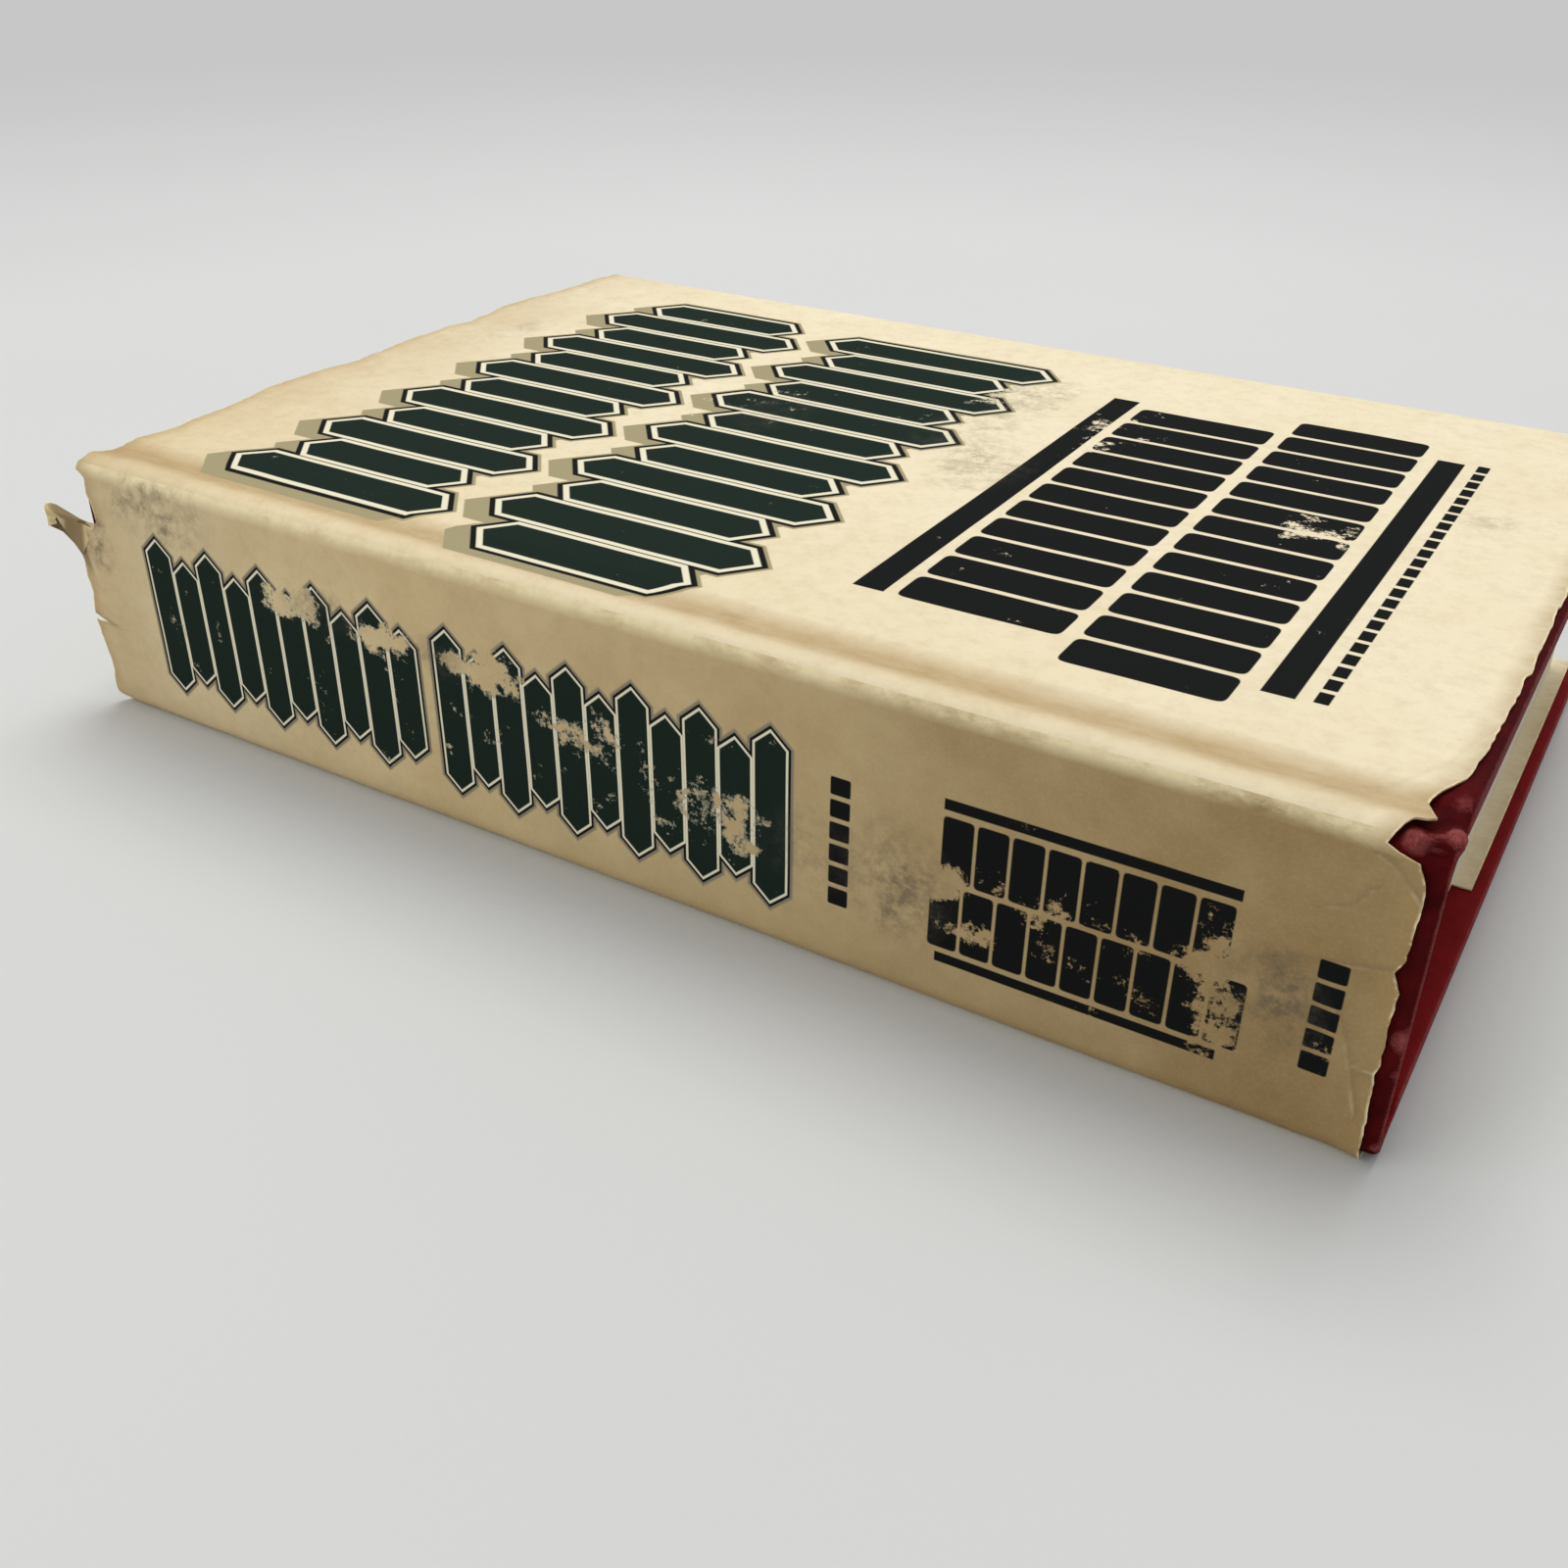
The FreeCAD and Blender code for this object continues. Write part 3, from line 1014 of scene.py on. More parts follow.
@dataclass
class FoldedSheet:
    """A sheet that wraps the spine, a joint and a cover, and turns in over the fore edge.

    Each is folded as the front one, and the back one is turned over at the end.
    """

    name: str
    side: Cover
    inset: float
    depth: float
    turn_end_y: float
    columns: int
    panel_rows: int
    spine_rows: int
    turn_rows: int
    fold_rows: int = 8
    edge_rows: int = 4
    joint_rows: int = 8

    @property
    def top(self) -> float:
        """The height of the sheet's outer face over the board."""
        return BOOK.thickness - self.inset

    @property
    def radius(self) -> float:
        """The radius of its fore-edge folds."""
        return BOOK.edge_radius - self.inset

    @property
    def fore(self) -> float:
        """Where its fore-edge fold starts."""
        return BOOK.fore_y - self.inset - self.radius

    def fold(self) -> Bench:
        """Lays the sheet on the cover, then folds it round the fore edge and the spine.

        Returns:
            The bench with the open sheet in edit mode.
        """
        bench = Bench.grid(
            self.name,
            (self.columns, self.panel_rows),
            Vector((-BOOK.half_height, BOOK.board_y, self.top)),
            Vector((BOOK.half_height, self.fore, self.top)),
        )
        low = self.top - self.depth
        near = 0.001 * MM
        bench.pick("EDGE", lambda ends: all(p.y > self.fore * MM - near for p in ends), True)
        bench.turn(self.fore, self.top - self.radius, QUARTER, self.edge_rows)
        bench.pull(Vector((0, 0, -(self.depth - 2 * self.radius) / 2)), 2)
        bench.turn(self.fore, low + self.radius, QUARTER, self.edge_rows)
        bench.pull(Vector((0, (self.turn_end_y - self.fore) / self.turn_rows, 0)), self.turn_rows)
        bench.pick("EDGE", lambda ends: all(p.y < BOOK.board_y * MM + near for p in ends), True)
        bench.pull(Vector((0, -BOOK.joint_width / self.joint_rows, 0)), self.joint_rows)
        if self.side is Cover.FRONT:
            bench.turn(BOOK.fold_y, BOOK.fold_z, -QUARTER, self.fold_rows)
            drop = (BOOK.fold_z - BOOK.fold_radius) / self.spine_rows
            bench.pull(Vector((0, 0, -drop)), self.spine_rows)
            bench.turn(BOOK.fold_y, BOOK.fold_radius, -QUARTER, self.fold_rows)
        return bench

    def face_out(self, piece: bpy.types.Object) -> None:
        """Turns the sheet's faces round where they look into the book."""
        faces = piece.data.polygons
        top = [face for face in faces if face.center.z > (self.top - 0.05) * MM]
        if sum(face.normal.z for face in top) < 0:
            piece.data.flip_normals()

    def unrolled(self, places: np.ndarray) -> np.ndarray:
        """Measures along the sheet from the front fold, negative down the spine.

        Args:
            places: The corners' places, folded as the front sheet.

        Returns:
            The distance along the sheet for each corner.
        """
        y, z = places[:, 1], places[:, 2]
        fold = BOOK.fold_radius
        along = y - BOOK.fold_y
        arc = fold * np.arctan2(np.maximum(BOOK.fold_y - y, 0), z - BOOK.fold_z)
        along = np.where((y < BOOK.fold_y) & (z >= BOOK.fold_z), -arc, along)
        down = fold * QUARTER + (BOOK.fold_z - z)
        on_spine = (y < BOOK.fold_y - 0.5) & (z < BOOK.fold_z) & (z >= fold)
        along = np.where(on_spine, -down, along)
        low = fold * np.arctan2(np.maximum(fold - z, 0), np.maximum(BOOK.fold_y - y, 0))
        low_fold = (y < BOOK.fold_y + 0.001) & (z < fold)
        whole = fold * QUARTER + BOOK.fold_z - fold
        along = np.where(low_fold, -(whole + low), along)
        past = (y > self.fore) | (z < self.top - 0.01) & (y > BOOK.board_y)
        return np.where(past, 400.0 - y + (self.top - z), along)

    def settle(self, piece: bpy.types.Object, places: np.ndarray) -> None:
        """Writes the places back, turned over for the back sheet."""
        if self.side is Cover.BACK:
            places = places * (1, 1, -1) + (0, 0, BOOK.thickness)
            write_places(piece, places)
            piece.data.flip_normals()
        else:
            write_places(piece, places)

    def hang(self, piece: bpy.types.Object) -> None:
        """Puts the sheet's place into its mesh."""
        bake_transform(piece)


@dataclass(frozen=True)
class Crease:
    """A crease pressed into the paper, as points (x, distance along the sheet)."""

    points: tuple[tuple[float, float], ...]
    height: float
    width: float = 1.5
    sharp: float = 0.6

    def measure(self, x: np.ndarray, along: np.ndarray) -> np.ndarray:
        """Measures how far each place is from the crease, negative on one side of it.

        Args:
            x: The place from head to tail.
            along: The distance along the sheet.

        Returns:
            The signed distance in millimetres.
        """
        nearest = np.full(len(x), 1e9)
        for (x0, a0), (x1, a1) in zip(self.points, self.points[1:], strict=False):
            dx, da = x1 - x0, a1 - a0
            part = np.clip(((x - x0) * dx + (along - a0) * da) / (dx * dx + da * da), 0, 1)
            off_x, off_a = x - x0 - part * dx, along - a0 - part * da
            far = np.hypot(off_x, off_a) * np.where(dx * off_a - da * off_x < 0, -1.0, 1.0)
            nearest = np.where(np.abs(far) < np.abs(nearest), far, nearest)
        return nearest


@dataclass
class JacketSheet(FoldedSheet):
    """Half of the paper jacket: its print side, worn edges, creases and waves."""

    spine_at: float = -(BOOK.fold_radius * QUARTER + BOOK.fold_z)
    end_zone: float = 14.0
    end_share: float = 0.5
    tail_wear: tuple[tuple[float, float], ...] = ()
    head_wear: tuple[tuple[float, float], ...] = ()
    spine_tail_wear: tuple[tuple[float, float], ...] = ()
    spine_head_wear: tuple[tuple[float, float], ...] = ()
    creases: tuple[Crease, ...] = ()
    reverse: bpy.types.Material | None = None

    def gone(
        self,
        along: np.ndarray,
        panel: tuple[tuple[float, float], ...],
        spine: tuple[tuple[float, float], ...],
    ) -> np.ndarray:
        """Works out how much paper is missing at each place along the sheet.

        Args:
            along: The distance along the sheet.
            panel: The wear on the cover, as (share from spine to fore edge, gone).
            spine: The wear on the spine, as (share from back to front, gone).

        Returns:
            The missing width in millimetres.
        """
        width = BOOK.fore_y - BOOK.spine_y
        line = [(share * width - BOOK.fold_radius, gone) for share, gone in panel]
        line = [point for point in line if point[0] > 0 or not spine]
        for share, gone in spine:
            z = share * BOOK.thickness
            if z > BOOK.fold_z:
                arc = math.acos(min(1.0, (z - BOOK.fold_z) / BOOK.fold_radius))
                line.append((-BOOK.fold_radius * arc, gone))
            elif z < BOOK.fold_radius:
                arc = math.asin(min(1.0, (BOOK.fold_radius - z) / BOOK.fold_radius))
                line.append((self.spine_at + BOOK.fold_radius - BOOK.fold_radius * arc, gone))
            else:
                line.append((self.spine_at + z, gone))
        line.sort()
        return np.interp(along, [p[0] for p in line], [p[1] for p in line])

    def wear_edges(self, places: np.ndarray, along: np.ndarray) -> np.ndarray:
        """Crowds the columns towards both ends and runs them along the worn edges.

        Args:
            places: The corners' places, changed in place.
            along: The distance along the sheet.

        Returns:
            How far each corner is from the nearer worn edge.
        """
        share = places[:, 0] / BOOK.half_height
        ragged = 0.28 * ripple(along, along * 0, 1.3, 3.1) + 0.4 * ripple(along, along * 0, 5.0, 7.7)
        head = BOOK.jacket_head_x + self.gone(along, self.head_wear, self.spine_head_wear)
        tail = BOOK.jacket_tail_x - self.gone(along, self.tail_wear, self.spine_tail_wear)
        head, tail = head + ragged, tail - np.roll(ragged, 7) * 0.7
        in_head = BOOK.jacket_head_x + self.end_zone
        in_tail = BOOK.jacket_tail_x - self.end_zone
        middle = 1 - self.end_share
        x = in_head + (share / middle + 1) / 2 * (in_tail - in_head)
        toward_tail = np.clip((share - middle) / self.end_share, 0, 1)
        toward_head = np.clip((-share - middle) / self.end_share, 0, 1)
        x = np.where(share > middle, in_tail + (tail - in_tail) * toward_tail, x)
        x = np.where(share < -middle, in_head + (head - in_head) * toward_head, x)
        places[:, 0] = x
        return np.minimum(x - head, tail - x)

    def waves(self, places: np.ndarray, along: np.ndarray, gap: np.ndarray) -> np.ndarray:
        """Works out how far the paper stands off the case.

        Args:
            places: The corners' places.
            along: The distance along the sheet.
            gap: The distance to the worn edge.

        Returns:
            The outward lift in millimetres.
        """
        x = places[:, 0]
        lift = 0.12 + 0.14 * ripple(along, x, 34.0, 1.5) + 0.05 * ripple(along, x, 9.0, 5.2)
        over = np.maximum(-BOOK.half_height - x, 0)
        lift += over * (0.16 * ripple(along, x, 11.0, 9.4) - 0.1)
        near_edge = 1 - ramp(gap, 0.0, 4.0)
        lift += near_edge * (0.1 + 0.24 * ripple(along, x, 5.0, 12.3))
        pucker = ramp(x, 92.0, 103.0) * ramp(-along, -8.0, 2.0)
        lift += pucker * 0.34 * (0.7 + ripple(along, x, 6.5, 15.8))
        lowest = np.where(x < -BOOK.half_height, -0.8, 0.02)
        return np.maximum(lift, lowest)

    def valley(self, places: np.ndarray) -> np.ndarray:
        """Works out how far the paper sinks into the joint."""
        middle = (BOOK.fold_y + BOOK.board_y) / 2
        share = np.clip(1 - ((places[:, 1] - middle) / (BOOK.joint_width / 2)) ** 2, 0, 1)
        return 0.5 * share * (places[:, 2] > BOOK.thickness - 0.1)

    def curl(self, places: np.ndarray) -> None:
        """Bends up the strip that is torn loose at the spine's head, and rolls its end over.

        Args:
            places: The corners' places, changed in place.
        """
        x, y, z = places.T.copy()
        on_spine = y < BOOK.spine_y + 1.2
        strip = on_spine & (x < -110.4) & (z > 24.0) & (z < 38.0)
        out = np.where(strip, -110.4 - x, 0.0) * 0.92
        flat = np.minimum(out, 5.6)
        angle = (out - flat) / 0.95
        reach = flat + 0.95 * np.sin(angle)
        places[:, 0] = np.where(strip, -110.4 - reach * 0.92, x)
        places[:, 2] = z + reach * 0.52 - (z - 32.0) * np.where(strip, 0.05 * out, 0.0)
        places[:, 1] = y - 0.03 * reach**2 - 0.95 * (1 - np.cos(angle))
        nub = on_spine & (x < -107.8) & (z > 41.2)
        turned = np.where(nub, -107.8 - x, 0.0)
        angle = turned / 0.7
        places[:, 0] = np.where(nub, -107.8 - 0.7 * np.sin(angle), places[:, 0])
        places[:, 1] -= 0.7 * (1 - np.cos(angle))

    def dress(self, piece: bpy.types.Object, outsides: dict[Face, bpy.types.Material]) -> None:
        """Gives each face of the sheet its print, each followed by the reverse's paper.

        Args:
            piece: The sheet, before it has a thickness.
            outsides: The printed materials, the plain one among them, in the order they go in.
        """
        for outside in outsides.values():
            piece.data.materials.append(outside)
            piece.data.materials.append(self.reverse)
        slots = {face: number * 2 for number, face in enumerate(outsides)}
        for polygon in piece.data.polygons:
            x, y, z = polygon.center / MM
            face = Face.PLAIN
            if self.side is Cover.FRONT and y < BOOK.spine_y + 1.0:
                face = Face.SPINE
            elif self.side is Cover.FRONT and z > BOOK.thickness - 1.2:
                face = Face.FRONT
            polygon.material_index = slots[face]

    def build(self, outsides: dict[Face, bpy.types.Material]) -> bpy.types.Object:
        """Folds, wears, creases and dresses the sheet.

        Args:
            outsides: The material of each printed face.

        Returns:
            The finished piece.
        """
        piece = self.fold().leave()
        self.face_out(piece)
        piece.data.materials.clear()
        self.dress(piece, outsides)
        places = read_places(piece)
        outward = read_normals(piece)
        along = self.unrolled(places)
        flap = along > BOOK.fore_y - BOOK.fold_y
        edge_along = np.where(flap, BOOK.fore_y - BOOK.fold_y, along)
        gap = self.wear_edges(places, edge_along)
        kept = places.copy()
        if self.side is Cover.BACK:
            kept = kept * (1, 1, -1) + (0, 0, BOOK.thickness)
        pressed, sharp = np.full(len(places), 9.0), np.zeros(len(places))
        lift = np.where(flap, 0.02, self.waves(places, along, gap)) - self.valley(places)
        for crease in self.creases:
            far = crease.measure(places[:, 0], along)
            lift = lift + crease.height * np.exp(-((far / crease.width) ** 2))
            nearer = np.abs(far) < np.abs(pressed)
            pressed, sharp = np.where(nearer, far, pressed), np.where(nearer, crease.sharp, sharp)
        if self.side is Cover.BACK:
            lift = lift * 0.3
        places = places + outward * lift[:, None]
        if self.side is Cover.BACK:
            places[:, 2] = np.minimum(places[:, 2], BOOK.thickness)
        else:
            places[:, 2] = np.maximum(places[:, 2], 0.0)
        self.curl(places)
        self.settle(piece, places)
        note(piece, "place", kept)
        note(piece, "edge_gap", gap)
        note(piece, "crease", np.clip(pressed, -9.0, 9.0))
        note(piece, "crease_near", sharp * np.exp(-((pressed / 1.3) ** 2)))
        give_thickness(piece, BOOK.jacket, True)
        self.hang(piece)
        return piece


@dataclass(frozen=True)
class Lump:
    """A soft lump in crushed cloth: its middle, its radius, where it shifts to and its rub, which on
    the bunched lumps at the tail fold is partly a painted highlight.
    """

    middle: tuple[float, float, float]
    radius: float
    shift: tuple[float, float, float] = (0.0, 0.0, 0.0)
    rub: float = 0.0

    def push(self, places: np.ndarray) -> np.ndarray:
        """Works out how far the lump shifts each corner, in millimetres."""
        far = np.linalg.norm(places - np.array(self.middle), axis=1)
        return np.exp(-((far / self.radius) ** 2))[:, None] * np.array(self.shift)


@dataclass
class ClothSheet(FoldedSheet):
    """Half of the case's cloth, turned in over the board's edges and over the spine's ends."""

    lumps: tuple[Lump, ...] = ()
    middle_columns: int = 70
    spine_depth: float = 1.7
    joint_depth: float = 0.95
    groove: float = 2.0

    def end_profile(self) -> Profile:
        """Works out the fold over an end, as (distance out from the last flat column, depth).

        Returns:
            One pair for each column past the flat ones.
        """
        steps = self.edge_rows
        points: Profile = []
        for step in range(1, steps + 1):
            angle = QUARTER * step / steps
            points.append((self.radius * math.sin(angle), self.radius * (1 - math.cos(angle))))
        points.append((self.radius, self.depth / 2))
        points.append((self.radius, self.depth - self.radius))
        for step in range(1, steps + 1):
            angle = QUARTER * step / steps
            sunk = self.depth - self.radius + self.radius * math.sin(angle)
            points.append((self.radius * math.cos(angle), sunk))
        reach = self.fore - self.turn_end_y
        for step in range(1, self.turn_rows + 1):
            points.append((-reach * step / self.turn_rows, self.depth))
        return points

    def wrap_depth(self, y: np.ndarray, z: np.ndarray) -> np.ndarray:
        """Works out how thick the stack is that the cloth wraps at each end.

        Args:
            y: The place from the spine to the fore edge.
            z: The height.

        Returns:
            The depth of the turned-in layer's face, in millimetres.
        """
        board = ramp(y, BOOK.board_y - 2.2, BOOK.board_y - 0.2)
        spine = ramp(-y, -BOOK.fold_y - 0.2, -BOOK.fold_y + 2.0)
        depth = self.joint_depth + (self.depth - self.joint_depth) * board
        return depth + (self.spine_depth - self.joint_depth) * spine

    def turn_ends(self, places: np.ndarray, outward: np.ndarray) -> None:
        """Turns the cloth in over the head and the tail, with mitred corners.

        Args:
            places: The corners' places, changed in place.
            outward: Which way the sheet faces at each.
        """
        profile = self.end_profile()
        flat_end = BOOK.half_height - self.radius
        extra = len(profile)
        cells = self.middle_columns + 2 * extra
        index = np.rint((places[:, 0] / BOOK.half_height + 1) / 2 * cells).astype(int)
        from_end = np.maximum(extra - index, index - (cells - extra))
        sign = np.where(index < cells / 2, -1.0, 1.0)
        share = (index - extra) / self.middle_columns * 2 - 1
        flat_x = (1.35 * share - 0.35 * share**3) * flat_end
        table = np.array([(0.0, 0.0), *profile])
        beyond = np.clip(from_end, 0, extra)
        out, sunk = table[beyond, 0], table[beyond, 1]
        y, z = places[:, 1].copy(), places[:, 2].copy()
        past_fore = (y > self.fore + 1e-4) | (z < self.top - 1e-3) & (y > BOOK.board_y)
        x = np.where(from_end > 0, sign * (flat_end + out), flat_x)
        fore_end = self.fore + self.radius
        limit_x = BOOK.half_height - (fore_end - y)
        clamp = past_fore & (from_end <= 0)
        x = np.where(clamp, np.clip(x, -limit_x, limit_x), x)
        x = np.where(past_fore & (from_end == 0), sign * limit_x, x)
        limit_y = fore_end - (BOOK.half_height - np.abs(x))
        on_panel = ~past_fore & (from_end > 0)
        last_row = on_panel & (y > self.fore - 1e-3)
        y = np.where(on_panel, np.minimum(y, limit_y), y)
        y = np.where(last_row, limit_y, y)
        depth = self.wrap_depth(places[:, 1], z) / self.depth
        scale = np.where(past_fore, 0.0, sunk * depth)
        places[:, 0] = x
        places[:, 1] = y - outward[:, 1] * scale
        places[:, 2] = z - outward[:, 2] * scale

    def groove_sag(self, places: np.ndarray, along: np.ndarray) -> np.ndarray:
        """Works out how far the cloth sinks into the joint, less where it is bunched up.

        Args:
            places: The corners' places.
            along: The distance along the sheet.

        Returns:
            The drop in millimetres.
        """
        share = np.clip(along / BOOK.joint_width, 0, 1)
        sag = self.groove * (1 - (2 * share - 1) ** 2)
        return sag * (1 - 0.62 * ramp(places[:, 0], 95.0, 105.0))

    def crush(self, places: np.ndarray) -> np.ndarray:
        """Crushes the spine's folds at the tail, and bunches the cloth there into lumps.

        Args:
            places: The corners' places.

        Returns:
            The new places.
        """
        if self.side is Cover.BACK:
            return places
        x, y, z = places.T
        for core_z, deep, end in ((BOOK.fold_z - 2, 1.9, 100.0), (BOOK.fold_radius + 2, 0.5, 103.0)):
            away = np.stack([x * 0, y - BOOK.fold_y - 2.5, z - core_z], axis=1)
            far = np.linalg.norm(away, axis=1)
            beside = ramp(z, 42.2, 43.5) if deep > 1 else ramp(-z, -2.8, -1.6)
            near = ramp(x, end, end + 3.5) * (1 - ramp(far, 5.6, 8.0)) * (far > 1) * beside
            crumple = deep * (0.75 + 0.9 * ripple(z * 2 + y, x, 3.1, 31.0))
            places = places - away / np.maximum(far, 1)[:, None] * (near * crumple)[:, None]
        return places + sum(lump.push(places) for lump in self.lumps)

    def worn(self, places: np.ndarray) -> np.ndarray:
        """Works out where the cloth is painted pale: faintly at its ends and more where knocked,
        partly as rubbed wear and partly as a painted highlight.
        """
        end = np.abs(places[:, 0])
        # The pale line along the cloth's ends is partly rubbed wear and partly a painted highlight
        # on the board's edge.
        line = ramp(end, BOOK.half_height - 0.5, BOOK.half_height - 0.1) * 0.66
        for lump in self.lumps:
            far = np.linalg.norm(places - np.array(lump.middle) - np.array(lump.shift), axis=1)
            line = np.maximum(line, lump.rub * (1 - ramp(far, lump.radius * 0.3, lump.radius * 1.4)))
        return line

    def build(self, finish: bpy.types.Material) -> bpy.types.Object:
        """Folds the sheet, turns in its ends and dresses it.

        Args:
            finish: The cloth's material.

        Returns:
            The finished piece.
        """
        bench = self.fold()
        cells = self.columns
        flat = (1 - 2 * len(self.end_profile()) / cells) * BOOK.half_height * MM
        fore = self.fore * MM
        top = self.top * MM

        def corner(ends: list[Vector]) -> bool:
            """Finds the square of cloth that is cut away where two turn-ins would meet."""
            middle = sum(ends, Vector()) / len(ends)
            past = middle.y > fore or middle.z < top - 1e-6 and middle.y > BOOK.board_y * MM
            return past and abs(middle.x) > flat

        bench.pick("FACE", corner)
        bpy.ops.mesh.delete(type="FACE")
        piece = bench.leave()
        self.face_out(piece)
        places = read_places(piece)
        outward = read_normals(piece)
        along = self.unrolled(places)
        self.turn_ends(places, outward)
        joint = (along > 0) & (along < BOOK.joint_width)
        drop = np.where(joint, self.groove_sag(places, along), 0.0)
        places = self.crush(places - outward * drop[:, None])
        kept = places if self.side is Cover.FRONT else places * (1, 1, -1) + (0, 0, BOOK.thickness)
        self.settle(piece, places)
        note(piece, "place", kept)
        note(piece, "wear", self.worn(places))
        bpy.ops.object.mode_set(mode="EDIT")
        bench.merge()
        bpy.ops.object.mode_set(mode="OBJECT")
        piece.data.materials.clear()
        piece.data.materials.append(finish)
        give_thickness(piece, BOOK.cloth, False)
        self.hang(piece)
        return piece


@dataclass
class Jacket:
    """The paper jacket: one sheet in life, parted under the spine so that both covers open."""

    front: JacketSheet = field(
        default_factory=lambda: JacketSheet(
            name="front_jacket",
            side=Cover.FRONT,
            inset=0.0,
            depth=BOOK.cover_depth,
            turn_end_y=BOOK.flap_end_y,
            columns=140,
            panel_rows=100,
            spine_rows=58,
            turn_rows=24,
            tail_wear=(
                (0.0, 4.4), (0.022, 3.9), (0.033, 2.4), (0.058, 4.0), (0.079, 2.8), (0.105, 1.2),
                (0.153, 0.7), (0.20, 0.6), (0.29, 0.2), (0.30, 0.7), (0.31, 0.1), (0.60, 0.3),
                (1.0, 0.2),
            ),
            head_wear=(
                (0.0, 4.2), (0.04, 5.4), (0.13, 5.8), (0.22, 4.5), (0.29, 2.1), (0.39, 2.4),
                (0.43, 3.8), (0.55, 2.0), (0.62, 1.8), (0.66, 3.8), (0.75, 1.1), (0.86, 3.2),
                (1.0, 5.0),
            ),
            spine_tail_wear=(
                (0.0, 0.9), (0.17, 1.1), (0.30, 1.6), (0.33, 1.3), (0.56, 1.4), (0.62, 2.3),
                (0.66, 1.3), (0.80, 1.0), (0.88, 1.3), (0.935, 2.4), (0.955, 6.2), (1.0, 4.4),
            ),
            spine_head_wear=(
                (0.0, 2.4), (0.04, 0.6), (0.16, 0.7), (0.28, -0.7), (0.335, -1.2), (0.35, 4.0),
                (0.365, -1.0), (0.46, -0.3), (0.565, -1.1), (0.60, -6.0), (0.65, -8.6),
                (0.73, -8.8), (0.742, 3.6), (0.76, 5.7), (0.84, 5.6), (0.87, 4.9), (0.935, 5.2),
                (0.955, 3.6), (0.98, 3.5), (0.99, 4.2), (1.0, 4.4),
            ),
            creases=(
                Crease(((96.5, -13.4), (99.6, -12.0), (101.0, -9.4)), 0.2, 1.8),
                Crease(((100.6, -5.0), (103.3, -6.4), (105.8, -9.4)), 0.24, 1.4, 0.9),
                Crease(((92.6, -21.6), (98.5, -20.4), (105.3, -18.7)), 0.18, 1.4, 0.9),
                Crease(((98.8, -25.0), (101.4, -29.0), (104.3, -39.1)), 0.2, 1.6, 0.7),
                Crease(((107.0, -33.4), (103.8, -33.2)), 0.14, 1.2, 0.8),
                Crease(((-114.0, -30.3), (-110.7, -31.2), (-107.1, -31.7)), 0.1, 1.0, 0.9),
                Crease(((93.0, 1.5), (99.5, 6.0), (103.5, 13.0), (105.5, 22.0)), 0.16, 2.0, 0.25),
                Crease(((-109.0, 8.0), (-100.0, 4.0), (-90.0, 2.6)), 0.22, 3.0, 0.0),
                Crease(((-108.0, 22.0), (-96.0, 14.0), (-78.0, 10.0)), 0.16, 3.4, 0.0),
            ),
        )
    )
    back: JacketSheet = field(
        default_factory=lambda: JacketSheet(
            name="back_jacket",
            side=Cover.BACK,
            inset=0.0,
            depth=BOOK.cover_depth,
            turn_end_y=BOOK.flap_end_y,
            columns=90,
            panel_rows=60,
            spine_rows=1,
            turn_rows=20,
            tail_wear=((0.0, 0.9), (0.30, 1.2), (0.62, 0.8), (1.0, 1.1)),
            head_wear=((0.0, 2.4), (0.25, 1.2), (0.55, 1.7), (1.0, 1.5)),
        )
    )
    outside: JacketPaper = field(default_factory=JacketPaper)
    reverse: RawPaper = field(default_factory=RawPaper)
    flat_height: float = 219.2
    front_reach: float = 282.6
    back_reach: float = 233.8

    def build(self) -> None:
        """Makes both halves of the sheet."""
        outsides = {face: self.outside.make(face) for face in Face}
        self.front.reverse = self.back.reverse = self.reverse.make()
        front = self.front.build(outsides)
        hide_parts("jacket_spine", "jacket_front_joint", "jacket_front")
        back = self.back.build({Face.PLAIN: outsides[Face.PLAIN]})
        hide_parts("jacket_back_joint", "jacket_back")
        for piece in (front, back):
            log.info("made %s, %d faces", piece.name, len(piece.data.polygons))


